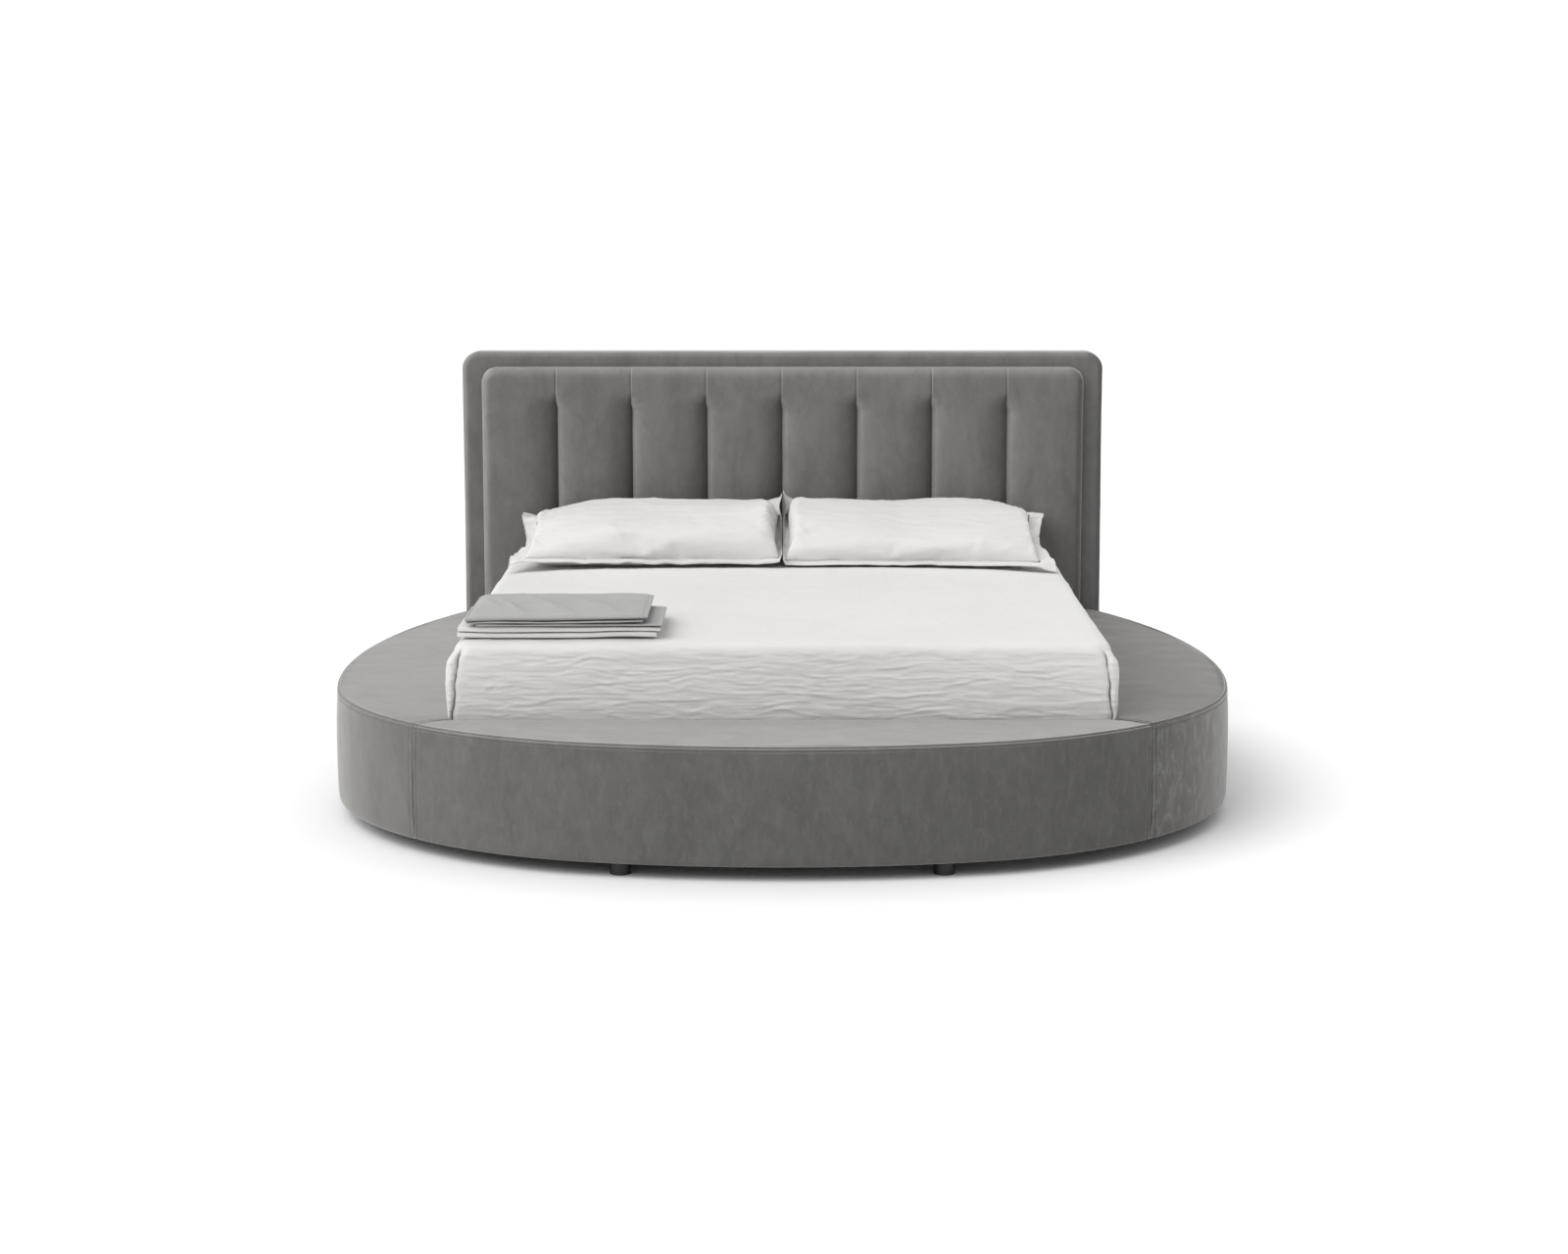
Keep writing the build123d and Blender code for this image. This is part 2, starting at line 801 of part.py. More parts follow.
def channel_section(left):
    """Plan of one channel: flat back, and a front that bows out between its two seams."""
    stitch_y = head_y - panel_depth + channel_dip
    right = left + channel_width
    crown = ((left + right) / 2, head_y - panel_depth)
    with BuildSketch() as section:
        with BuildLine():
            Line((right, head_y), (left, head_y))
            Line((left, head_y), (left, stitch_y))
            ThreePointArc((left, stitch_y), crown, (right, stitch_y))
            Line((right, stitch_y), (right, head_y))
        make_face()
    return section.sketch


def seam_filling(left):
    """Wedge behind a channel's face that brings its seams forward towards the panel's top edge."""
    face_y = head_y - panel_depth
    fade_z = panel_top - channel_fade
    with BuildPart() as wedge:
        with BuildSketch(Plane(origin=(left, 0, 0), x_dir=(0, 1, 0), z_dir=(1, 0, 0))):
            Polygon(
                (head_y, fade_z),
                (face_y + channel_dip, fade_z),
                (face_y + channel_top_dip, panel_top),
                (head_y, panel_top),
                align=None,
            )
        extrude(amount=channel_width)
    return wedge.part


def channel_pad(number):
    """One padded channel. Its seams are deep below and run out towards the panel's top edge."""
    left = -panel_width / 2 + channel_width * number
    outline = panel_outline(panel_width, panel_bottom, panel_top, panel_corner)
    panel = rounded_upright_slab(outline, head_y - panel_depth, head_y, panel_rounding)
    with BuildPart() as pad:
        add(slab(channel_section(left), panel_bottom, panel_top))
        add(seam_filling(left))
        add(panel, mode=Mode.INTERSECT)
        add(channel_board(), mode=Mode.SUBTRACT)
    return pad.part


def corner_block(width, length, corner, bottom, top):
    """Block about the mattress's middle with rounded plan corners."""
    with BuildPart() as block:
        with BuildSketch(Plane.XY.offset(bottom)):
            with Locations((0, mattress_y)):
                RectangleRounded(width, length, corner)
        extrude(amount=top - bottom)
    return block.part


def mattress():
    """Pocket-sprung mattress with its edges eased above and below."""
    block = corner_block(mattress_width, mattress_length, mattress_corner, mattress_z, mattress_top)
    with BuildPart() as piece:
        add(block)
        levels = piece.edges().group_by(Axis.Z)
        chamfer(levels[0] + levels[-1], length=mattress_bevel)
    return piece.part


def corner_pleat(side):
    """Flap of folded cloth at a foot corner, swelling out over the base's edge halfway down."""
    inner_x = mattress_width / 2
    side_x = bed_side
    outer_x = side_x + pleat_bulge
    front_y = bed_foot_y + pleat_setback
    back_y = front_y + pleat_length
    bottom = base_top + pleat_bottom
    top = bed_top - cover_rounding
    front_plane = Plane(origin=(0, front_y, 0), x_dir=(side, 0, 0), z_dir=(0, -side, 0))
    with BuildPart() as pleat:
        with BuildSketch(front_plane):
            with BuildLine():
                ThreePointArc((side_x, bottom), (outer_x, (bottom + top) / 2), (side_x, top))
                Polyline((side_x, top), (inner_x, top), (inner_x, bottom), (side_x, bottom))
            make_face()
        extrude(amount=-side * pleat_length)
        with BuildSketch(Plane.XY.offset(bottom)):
            with BuildLine():
                middle = (side * (side_x + pleat_bulge * pleat_share), (front_y + back_y) / 2)
                ThreePointArc((side * outer_x, front_y), middle, (side * side_x, back_y))
                Line((side * side_x, back_y), (side * inner_x, back_y))
                Line((side * inner_x, back_y), (side * inner_x, front_y))
                Line((side * inner_x, front_y), (side * outer_x, front_y))
            make_face()
        extrude(amount=top - bottom, mode=Mode.INTERSECT)
    return pleat.part


def bed_cover():
    """Linen cover over the mattress, with its sides and foot tucked down into the well."""
    length = mattress_length + 2 * cover_top
    bottom = mattress_z + cover_tuck
    foot_end = mattress_y - mattress_length / 2
    head_end = mattress_y + mattress_length / 2
    inside = ((-mattress_width / 2, mattress_width / 2), (foot_end, head_end))
    past = (head_end, head_end + mattress_gap)
    with BuildPart() as cover:
        add(corner_block(2 * bed_side, length, cover_rounding, bottom, bed_top))
        fillet(cover.edges().group_by(Axis.Z)[-1], radius=cover_rounding)
        for side in (-1, 1):
            add(corner_pleat(side))
        add(strip(*inside, (bottom, mattress_top)), mode=Mode.SUBTRACT)
        add(strip((-bed_side, bed_side), past, (bottom, bed_top)), mode=Mode.SUBTRACT)
    return cover.part


def drawn_rectangle(length, depth, draw):
    """Rectangle whose four sides are arcs, drawn in by draw, or bowed out where it is negative."""
    x = length / 2
    y = depth / 2
    with BuildSketch() as outline:
        with BuildLine():
            ThreePointArc((-x, -y), (0, -y + draw), (x, -y))
            ThreePointArc((x, -y), (x - draw, 0), (x, y))
            ThreePointArc((x, y), (0, y - draw), (-x, y))
            ThreePointArc((-x, y), (-x + draw, 0), (-x, -y))
        make_face()
    return outline.sketch


def crown_profile(length):
    """Upright section of a filling: an upright swell at each end, tangent to one shallow crown."""
    rise = pillow_thickness / 2
    swell = rise * swell_share
    swell_x = length / 2 - swell
    crown = (swell_x**2 + rise**2 - swell**2) / (2 * (rise - swell))
    lean = (swell_x / (crown - swell), (crown - rise) / (crown - swell))
    touch = (crown * lean[0], rise - crown + crown * lean[1])
    with BuildSketch() as profile:
        with BuildLine():
            RadiusArc((length / 2, 0), touch, -swell)
            RadiusArc(touch, (-touch[0], touch[1]), -crown)
            RadiusArc((-touch[0], touch[1]), (-length / 2, 0), -swell)
            Line((-length / 2, 0), (length / 2, 0))
        make_face()
    return profile.sketch


def pillow_half(plane, direction):
    """Upper or lower half of a pillow's filling: where its two crowned sections cross."""
    across = Plane(origin=plane.origin, x_dir=plane.x_dir, z_dir=plane.y_dir * -direction)
    along = Plane(origin=plane.origin, x_dir=plane.y_dir, z_dir=plane.x_dir * direction)
    with BuildPart() as half:
        with BuildSketch(across):
            add(crown_profile(pillow_length))
        extrude(amount=pillow_depth, both=True)
        with BuildSketch(along):
            add(crown_profile(pillow_depth))
        extrude(amount=pillow_length, both=True, mode=Mode.INTERSECT)
    return half.part


def pillow(side):
    """Pillow leaning back on the headboard, flat underneath where it lies on the bed."""
    lean = radians(pillow_tilt)
    flange_length = pillow_length + 2 * pillow_flange
    flange_depth = pillow_depth + 2 * pillow_flange
    pillow_x = (flange_length + pillow_gap) / 2
    plane = Plane(
        origin=(side * pillow_x, head_y - panel_depth - pillow_setback, bed_top + pillow_rise),
        x_dir=(1, 0, 0),
        z_dir=(0, -sin(lean), cos(lean)),
    )
    flange = drawn_rectangle(flange_length, flange_depth, flange_draw)
    below = (mattress_z, bed_top + rest_gap)
    with BuildPart() as piece:
        add(pillow_half(plane, 1))
        add(pillow_half(plane, -1))
        with BuildSketch(plane.offset(-flange_thickness / 2)):
            add(flange)
        extrude(amount=flange_thickness)
        bed = strip((-headboard_width, headboard_width), (-head_y, head_y), below)
        add(bed, mode=Mode.SUBTRACT)
    return piece.part


def folded_layer(sides, front_y, back_y, bottom, thickness):
    """One folded layer, with a round fold along its front edge."""
    with BuildPart() as layer:
        add(strip(sides, (front_y, back_y), (bottom, bottom + thickness)))
        fillet(layer.edges().filter_by(Axis.X).group_by(Axis.Y)[0], radius=thickness * fold_share)
    return layer.part


def folded_linen(setback, size, layers, bottom):
    """Stack of folded layers, each with a round fold along its front edge."""
    left = -bed_side + setback[0]
    front_y = bed_foot_y + setback[1]
    with BuildPart() as stack:
        height = bottom
        for thickness in layers:
            add(folded_layer((left, left + size[0]), front_y, front_y + size[1], height, thickness))
            height += thickness
    return stack.part


def save(name, part):
    """Label a finished piece and write it."""
    part.label = name
    export_step(part, f"parts/{name}.step")


modules = ("left", "front", "right")

for module in modules:
    save(f"cover_{module}", base_cover(module))
    save(f"foam_{module}", base_foam(module))
    save(f"outer_wall_{module}", outer_wall(module))
    save(f"top_board_{module}", top_board(module))
    save(f"bottom_board_{module}", bottom_board(module))
    save(f"well_rail_{module}", well_rail(module))
    with BuildPart() as feet:
        for x, y in foot_places(module):
            add(round_foot(x, y))
    save(f"feet_{module}", feet.part)

save("well_rail_head", head_rail())

with BuildPart() as ribs:
    for module in modules:
        add(module_ribs(module))
save("ribs", ribs.part)

with BuildPart() as module_bolts:
    for side in (-1, 1):
        add(bolt_at(lambda start: seam_plane(side, start), seam_grip, seam_grip))
save("module_bolts", module_bolts.part)

save("slat_ledges", slat_ledges())
side_tube_x = frame_half_width - tube_width / 2
save("slat_frame_left", lengthwise_tube(-side_tube_x, 0))
save("slat_frame_right", lengthwise_tube(side_tube_x, 0))
save("slat_frame_head", cross_tube(frame_head_y - tube_width / 2))
save("slat_frame_foot", cross_tube(frame_foot_y + tube_width / 2))
save("slat_frame_centre", lengthwise_tube(0, tube_width))
save("slats_left", slat_row(-1))
save("slats_right", slat_row(1))
save("slat_holders_left", side_holders(-1))
save("slat_holders_right", side_holders(1))
save("slat_holders_centre", centre_holders())
save("centre_legs", centre_legs())

save("headboard_cover", headboard_cover())
save("headboard_foam", headboard_padding())
save("headboard_board", headboard_board())
save("headboard_battens", headboard_battens())
save("headboard_back_cloth", headboard_back_cloth())
save("headboard_feet", headboard_feet())
save("channel_board", channel_board())

with BuildPart() as headboard_bolts:
    for side in (-1, 1):
        add(bolt_at(lambda start: head_plane(side, start), head_grip_front, head_grip_back))
save("headboard_bolts", headboard_bolts.part)

for number in range(channel_count):
    save(f"channel_pad_{number + 1}", channel_pad(number))

save("mattress", mattress())
save("bed_cover", bed_cover())
save("pillow_left", pillow(-1))
save("pillow_right", pillow(1))

sheet_bottom = bed_top + rest_gap
case_bottom = sheet_bottom + sum(folded_sheet_layers) + rest_gap
cover_bottom = case_bottom + sum(folded_case_layers) + rest_gap
folded_sheet = folded_linen(
    folded_sheet_setback, folded_sheet_size, folded_sheet_layers, sheet_bottom
)
folded_case = folded_linen(folded_case_setback, folded_case_size, folded_case_layers, case_bottom)
folded_cover = folded_linen(
    folded_cover_setback, folded_cover_size, folded_cover_layers, cover_bottom
)
save("folded_sheet", folded_sheet)
save("folded_pillowcase", folded_case)
save("folded_cover", folded_cover)
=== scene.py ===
"""Looks of the round upholstered bed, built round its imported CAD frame. Metres, row frame."""

import json
import math
from itertools import product

import bpy
import numpy as np
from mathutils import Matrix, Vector


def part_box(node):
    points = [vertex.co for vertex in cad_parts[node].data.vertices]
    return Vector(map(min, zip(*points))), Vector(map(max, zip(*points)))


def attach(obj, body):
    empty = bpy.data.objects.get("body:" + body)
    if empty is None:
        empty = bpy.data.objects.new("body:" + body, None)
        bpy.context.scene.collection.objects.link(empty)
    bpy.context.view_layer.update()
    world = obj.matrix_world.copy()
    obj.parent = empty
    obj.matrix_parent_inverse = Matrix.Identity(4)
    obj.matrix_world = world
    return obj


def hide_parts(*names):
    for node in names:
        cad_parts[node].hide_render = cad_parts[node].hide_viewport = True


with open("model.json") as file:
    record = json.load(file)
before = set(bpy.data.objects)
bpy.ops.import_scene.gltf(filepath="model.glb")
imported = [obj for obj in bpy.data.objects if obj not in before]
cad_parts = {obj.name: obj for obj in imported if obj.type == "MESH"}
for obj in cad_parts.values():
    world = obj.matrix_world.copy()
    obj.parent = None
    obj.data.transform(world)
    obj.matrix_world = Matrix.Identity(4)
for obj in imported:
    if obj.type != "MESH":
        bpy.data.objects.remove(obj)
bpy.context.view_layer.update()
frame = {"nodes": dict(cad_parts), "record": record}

# Sizes of the CAD model that the pieces here are built on.
HEAD_Y = 1.2055
HALF_WELL = 0.93
HALF_WIDTH = 1.352
FRONT_REACH = 2.511
WIDEST_REACH = FRONT_REACH * 0.466
HEAD_DRAW_IN = 0.266
FRONT_FALL = 0.205
SEAM_DEPTH = 0.118
SEAM_ANGLE = math.radians(35)
WELL_FRONT_Y = HEAD_Y - 2.1
WALL_BOTTOM = 0.041
BASE_TOP = 0.370
LIP_DEPTH = 0.060
RIM = 0.014
HEADBOARD_HALF = 1.100
HEADBOARD_TOP = 1.262
HEADBOARD_DEPTH = 0.100
PANEL_HALF = 1.029
PANEL_TOP = 1.210
PANEL_BOTTOM = 0.372
PANEL_DEPTH = 0.062
CHANNELS = 8
MATTRESS_HALF = 0.900
MATTRESS_LOW = 0.3183
MATTRESS_HIGH = 0.5723
MATTRESS_BACK = HEAD_Y - 0.075
MATTRESS_FRONT = MATTRESS_BACK - 2.0
BED_TOP = MATTRESS_HIGH + 0.015
BED_HALF = MATTRESS_HALF + 0.020
BED_FOOT = MATTRESS_FRONT - 0.015
LAY_GAP = 0.0003

VELVET_THICKNESS = 0.0012


# Numbers and noise

def smooth(value, low, high):
    """0 below low, 1 above high, and an even S between."""
    t = np.clip((value - low) / (high - low), 0, 1)
    return t * t * (3 - 2 * t)


def hump(value, middle, reach):
    """1 at the middle, falling off to 0 on both sides of it at about twice the reach."""
    return np.exp(-((value - middle) / reach) ** 2)


def edge_drop(distance, radius):
    """How far a rounded edge falls back, at a distance in from it."""
    fall = radius - np.sqrt(np.maximum(radius**2 - (radius - distance) ** 2, 0))
    return np.where(distance < radius, fall, 0)


def quarter(count):
    """Angles of a quarter turn in even steps, without its start."""
    return np.linspace(0, np.pi / 2, count)[1:]


def points_of(x, y, z=0.0):
    """Points from their coordinates, each an array or one number for all."""
    return np.stack(np.broadcast_arrays(x, y, z), -1)


def distances(path):
    """How far along a path each of its points lies."""
    return np.concatenate([[0], np.cumsum(np.linalg.norm(np.diff(path, axis=0), axis=1))])


def read_at(place, reach, values):
    """Values given along a path, read at distances along it."""
    return np.stack([np.interp(place, reach, column) for column in values.T], -1)


def hashed(x, y, z, seed):
    """Repeatable numbers from -1 to 1 at whole-number places."""
    n = x * 374761393 + y * 668265263 + z * 1442695041 + seed * 974711
    n = ((n ^ (n >> 13)) * 1274126177) & 0x7FFFFFFF
    n = ((n ^ (n >> 15)) * 2246822519) & 0x7FFFFFFF
    return ((n >> 7) & 0xFFFF) / 32767.5 - 1


def noise(points, scale, seed=0):
    """Smooth noise from -1 to 1 at each point. scale is features to the metre, one or one an axis."""
    p = np.asarray(points, float) * np.asarray(scale, float) + 37.3 * seed
    low = np.floor(p).astype(np.int64)
    f = p - low
    w = f * f * f * (f * (f * 6 - 15) + 10)
    total = np.zeros(p.shape[:-1])
    for a, b, c in product((0, 1), repeat=3):
        share = np.abs(1 - a - w[..., 0]) * np.abs(1 - b - w[..., 1]) * np.abs(1 - c - w[..., 2])
        total += share * hashed(low[..., 0] + a, low[..., 1] + b, low[..., 2] + c, seed)
    return total


def ridges(points, scale, seed=0, sharp=2.0):
    """Creases: 1 on thin lines where the noise crosses zero, falling to 0 between them."""
    return (1 - np.abs(noise(points, scale, seed))) ** (2 * sharp)


def spaced(length, step, fine=(), ends="both"):
    """Places from 0 to length, about step apart, with the fine distances added at the ends."""
    fine = np.asarray(fine, float)
    first = fine if ends in ("both", "start") else np.zeros(1)
    last = length - fine[::-1] if ends in ("both", "end") else np.array([length])
    count = max(int(round((last[0] - first[-1]) / step)), 1)
    middle = np.linspace(first[-1], last[0], count + 1)[1:-1]
    return np.concatenate([first, middle, last])


# Meshes

def new_object(name, points, faces, smooth_shaded=True):
    """A mesh object in the scene."""
    data = bpy.data.meshes.new(name)
    data.from_pydata([tuple(p) for p in np.asarray(points, float)], [], [tuple(f) for f in faces])
    data.update()
    if smooth_shaded:
        data.polygons.foreach_set("use_smooth", [True] * len(data.polygons))
    obj = bpy.data.objects.new(name, data)
    bpy.context.scene.collection.objects.link(obj)
    return obj


def grid_faces(rows, columns, start=0, wrap=False, flip=False):
    """Four-sided faces of a grid of points, rows by columns."""
    i, j = np.meshgrid(np.arange(rows - 1), np.arange(columns if wrap else columns - 1), indexing="ij")
    k = (j + 1) % columns
    corners = (i * columns + j, i * columns + k, (i + 1) * columns + k, (i + 1) * columns + j)
    faces = np.stack(corners, -1).reshape(-1, 4) + start
    return faces[:, ::-1] if flip else faces


def grid_normals(points):
    """Unit normals of a grid of points, from its neighbours along rows and columns."""
    normal = np.cross(np.gradient(points, axis=1), np.gradient(points, axis=0))
    return normal / np.maximum(np.linalg.norm(normal, axis=-1, keepdims=True), 1e-12)


def grid_border(rows, columns):
    """Numbers of a grid's points back down its first column, along its first row and up its last column."""
    border = [i * columns for i in range(rows - 1, -1, -1)]
    border += list(range(1, columns))
    border += [i * columns + columns - 1 for i in range(1, rows)]
    return border


def join_row(points, faces, previous, row):
    """Add a row of points, with faces from the previous row to it, and give its numbers."""
    numbers = list(range(len(points), len(points) + len(row)))
    points.extend(row)
    for a, b, c, d in zip(previous[:-1], previous[1:], numbers[1:], numbers[:-1]):
        faces.append([d, c, b, a])
    return numbers


def mesh_arrays(obj):
    """Places and normals of a mesh's vertices."""
    count = len(obj.data.vertices)
    points, normals = np.zeros(count * 3), np.zeros(count * 3)
    obj.data.vertices.foreach_get("co", points)
    obj.data.vertices.foreach_get("normal", normals)
    return points.reshape(-1, 3), normals.reshape(-1, 3)


def move_to(obj, points):
    """Set the places of a mesh's vertices."""
    obj.data.vertices.foreach_set("co", np.asarray(points, float).ravel())
    obj.data.update()


def corner_rounded(x, y, half, end, corner):
    """Round the two corners at a rectangle's low end: places moved, and distances in from its edge."""
    a = np.clip((np.abs(x) - (half - corner)) / corner, 0, 1)
    b = np.clip((end + corner - y) / corner, 0, 1)
    both = (a > 0) & (b > 0)
    size = np.maximum(a, b)
    stretch = corner * size / np.maximum(np.hypot(a, b), 1e-9)
    moved_x = np.where(both, np.sign(x) * (half - corner + a * stretch), x)
    moved_y = np.where(both, end + corner - b * stretch, y)
    edge = np.where(both, corner * (1 - size), np.minimum(half - np.abs(moved_x), moved_y - end))
    return moved_x, moved_y, edge


def thicken(obj, thickness=VELVET_THICKNESS, offset=-1.0):
    """Give a cloth piece its thickness."""
    solid = obj.modifiers.new("Thickness", "SOLIDIFY")
    solid.thickness = thickness
    solid.offset = offset


# A stitch along its length: share of the way, radius as a share, and height in radii.
STITCH = ((0.0, 0.25, -1.0), (0.12, 0.9, 0.1), (0.5, 1.0, 0.5), (0.88, 0.9, 0.1), (1.0, 0.25, -1.0))
STITCH_SIDES = 6


def stitches(name, path, normals, length=0.0065, gap=0.0025, radius=0.0006):
    """A row of thread stitches lying along a path."""
    reach = distances(path)
    turn = np.linspace(0, 2 * np.pi, STITCH_SIDES, endpoint=False)
    points, faces = [], []
    for place in np.arange(gap, reach[-1] - length, length + gap):
        start = len(points)
        for share, swell, lift in STITCH:
            at = place + length * share
            middle = read_at(at, reach, path)
            normal = read_at(at, reach, normals)
            normal /= np.linalg.norm(normal)
            ahead = read_at(at + 0.001, reach, path) - middle
            if np.linalg.norm(ahead) < 1e-7:
                ahead = middle - path[-2]
            side = np.cross(ahead / np.linalg.norm(ahead), normal)
            ring = np.outer(np.cos(turn), side) + np.outer(np.sin(turn), normal)
            points.extend(middle + normal * radius * lift + radius * swell * ring)
        faces.extend(grid_faces(len(STITCH), STITCH_SIDES, start, wrap=True).tolist())
        faces.append([start + k for k in range(STITCH_SIDES)][::-1])
        faces.append([len(points) - STITCH_SIDES + k for k in range(STITCH_SIDES)])
    return new_object(name, points, faces)


# Node materials

def grey(level):
    """A colour without a tint."""
    return (level, level, level)


def darker(colour, share):
    """A share of a colour."""
    return tuple(c * share for c in colour)


class Nodes:
    """Builds the nodes of a material, or of the world, in short calls."""

    def __init__(self, owner):
        self.owner = owner
        self.owner.use_nodes = True
        self.tree = self.owner.node_tree
        self.places = self.add("ShaderNodeTexCoord").outputs
        self.place = self.places["Object"]

    def put(self, socket, value):
        """Link a socket to another one, or set its value."""
        if isinstance(value, bpy.types.NodeSocket):
            self.tree.links.new(value, socket)
        elif socket.type == "RGBA":
            socket.default_value = (*value, 1)
        else:
            socket.default_value = value

    def add(self, kind, inputs=None, **settings):
        """A node with its settings, and with a value or a link for each input named."""
        node = self.tree.nodes.new(kind)
        for key, value in settings.items():
            setattr(node, key, value)
        for key, value in (inputs or {}).items():
            self.put(node.inputs[key], value)
        return node

    def stretch(self, scale, rotation=(0, 0, 0)):
        """The object's coordinates, scaled and turned."""
        inputs = {"Vector": self.place, "Scale": scale, "Rotation": rotation}
        return self.add("ShaderNodeMapping", inputs).outputs["Vector"]

    def noise(self, scale, detail=2.0, roughness=0.5, distortion=0.0, vector=None):
        inputs = {"Vector": vector or self.place, "Scale": scale, "Detail": detail,
                  "Roughness": roughness, "Distortion": distortion}
        return self.add("ShaderNodeTexNoise", inputs).outputs["Fac"]

    def bands(self, scale, direction="X", distortion=0.0, detail=0.0, detail_scale=1.0, vector=None):
        inputs = {"Vector": vector or self.place, "Scale": scale, "Distortion": distortion,
                  "Detail": detail, "Detail Scale": detail_scale}
        settings = {"wave_type": "BANDS", "bands_direction": direction}
        return self.add("ShaderNodeTexWave", inputs, **settings).outputs["Fac"]

    def cells(self, scale, randomness=1.0, feature="F1"):
        inputs = {"Vector": self.place, "Scale": scale, "Randomness": randomness}
        return self.add("ShaderNodeTexVoronoi", inputs, feature=feature).outputs["Distance"]

    def math(self, operation, first, second):
        return self.add("ShaderNodeMath", {0: first, 1: second}, operation=operation).outputs[0]

    def facing(self, axis):
        """How far the surface faces along an axis, from -1 to 1."""
        normal = self.add("ShaderNodeNewGeometry").outputs["Normal"]
        return self.add("ShaderNodeSeparateXYZ", {"Vector": normal}).outputs[axis]

    def ramp(self, factor, *stops):
        """Colours at places from 0 to 1."""
        node = self.add("ShaderNodeValToRGB", {"Fac": factor})
        elements = node.color_ramp.elements
        while len(elements) < len(stops):
            elements.new(0.5)
        for element, (place, colour) in zip(elements, stops):
            element.position = place
            element.color = (*colour, 1)
        return node.outputs["Color"]

    def span(self, factor, low, high, to_low=0.0, to_high=1.0):
        """A value moved from one range to another and held in it."""
        inputs = {"Value": factor, "From Min": low, "From Max": high, "To Min": to_low, "To Max": to_high}
        return self.add("ShaderNodeMapRange", inputs).outputs["Result"]

    def share(self, factor, low, high, most):
        """From 0 to most, as a value goes from low to high."""
        return self.math("MULTIPLY", self.span(factor, low, high), most)

    def mix(self, factor, first, second, blend="MIX"):
        inputs = {0: factor, 6: first, 7: second}
        return self.add("ShaderNodeMix", inputs, data_type="RGBA", blend_type=blend).outputs[2]

    def tinted(self, first, second):
        """One colour times another."""
        return self.mix(1.0, first, second, "MULTIPLY")

    def bumps(self, *layers):
        """The normal with bumps on one another, each given as its height, distance and strength."""
        normal = None
        for height, distance, strength in layers:
            inputs = {"Height": height, "Distance": distance, "Strength": strength}
            if normal is not None:
                inputs["Normal"] = normal
            normal = self.add("ShaderNodeBump", inputs).outputs["Normal"]
        return normal

    def finish(self, **sockets):
        """Set the shader's sockets, whose names are written with _ for a space."""
        for key, value in sockets.items():
            self.put(self.tree.nodes["Principled BSDF"].inputs[key.replace("_", " ")], value)
        return self.owner


def material(name):
    """The nodes of a new material."""
    return Nodes(bpy.data.materials.new(name))


def velvet(name, upright=1.0, level=1.0, streaks=0.0, turned=0.0):
    """Short-pile velvet: a dark ground, brushed patches where the nap lies another way, fine pile.

    upright and level are how light the cloth is made on upright and on level faces: partly for the way
    that its nap runs, and partly painted light, with level faces lighter as a painted sheen. streaks is
    how strongly it is brushed up and down. turned is painted light from the bed's left: how much lighter
    it is made where it faces the bed's left, or how much darker if it is below 0.
    """
    n = material(name)
    drift = n.noise(1.1, 3.0, 0.55, 0.6)
    brushed = n.noise(7.0, 5.0, 0.62, 1.4, n.stretch((1.0, 1.0, 0.45)))
    mottled = n.noise(34.0, 4.0, 0.6, 0.8, n.stretch((1.0, 1.0, 0.6)))
    pile = n.noise(900.0, 2.0, 0.6)
    nap = n.math("ADD", n.share(brushed, 0.3, 0.7, 0.6), n.share(mottled, 0.3, 0.7, 0.4))
    ground = n.ramp(nap, (0.0, (0.086, 0.084, 0.080)), (0.45, (0.108, 0.106, 0.101)),
                    (1.0, (0.131, 0.128, 0.122)))
    # Partly nap and partly painted light: the cloth is made lighter or darker by how far it faces up, with
    # level faces lighter as a painted sheen.
    up = n.facing("Z")
    nap_and_painted_light = n.mix(n.span(up, 0.15, 0.85), grey(upright), grey(level))
    # Painted light: lighter where the cloth faces the bed's left and darker where it faces the right, as if
    # lit from the left.
    if turned:
        painted_light_side = n.span(n.facing("X"), -0.55, 0.55)
        nap_and_painted_light = n.tinted(nap_and_painted_light, n.mix(painted_light_side, grey(1 + turned), grey(1 - turned)))
    tone = n.mix(n.span(drift, 0.3, 0.7), grey(0.92), grey(1.06))
    colour = n.tinted(n.tinted(ground, nap_and_painted_light), tone)
    if streaks:
        brush = n.noise(52.0, 5.0, 0.70, 0.5, n.stretch((1.0, 1.0, 0.42)))
        patches = n.noise(11.0, 5.0, 0.64, 1.0, n.stretch((1.0, 1.0, 0.8)))
        amount = n.share(up, 0.8, 0.3, streaks)
        for source, low, high, shade in ((patches, 0.52, 0.30, 0.05), (patches, 0.53, 0.78, 0.20),
                                         (brush, 0.50, 0.74, 0.30)):
            colour = n.mix(n.share(source, low, high, amount), colour, grey(shade))
    speckled = n.mix(n.share(pile, 0.35, 0.65, 0.22), colour, (0.19, 0.187, 0.18))
    normal = n.bumps((brushed, 0.004, 0.25), (mottled, 0.0012, 0.35), (pile, 0.0004, 0.5))
    return n.finish(Base_Color=speckled, Roughness=0.92, Specular_IOR_Level=0.18, Normal=normal,
                    Sheen_Weight=0.75, Sheen_Roughness=0.40, Sheen_Tint=(0.84, 0.82, 0.79))


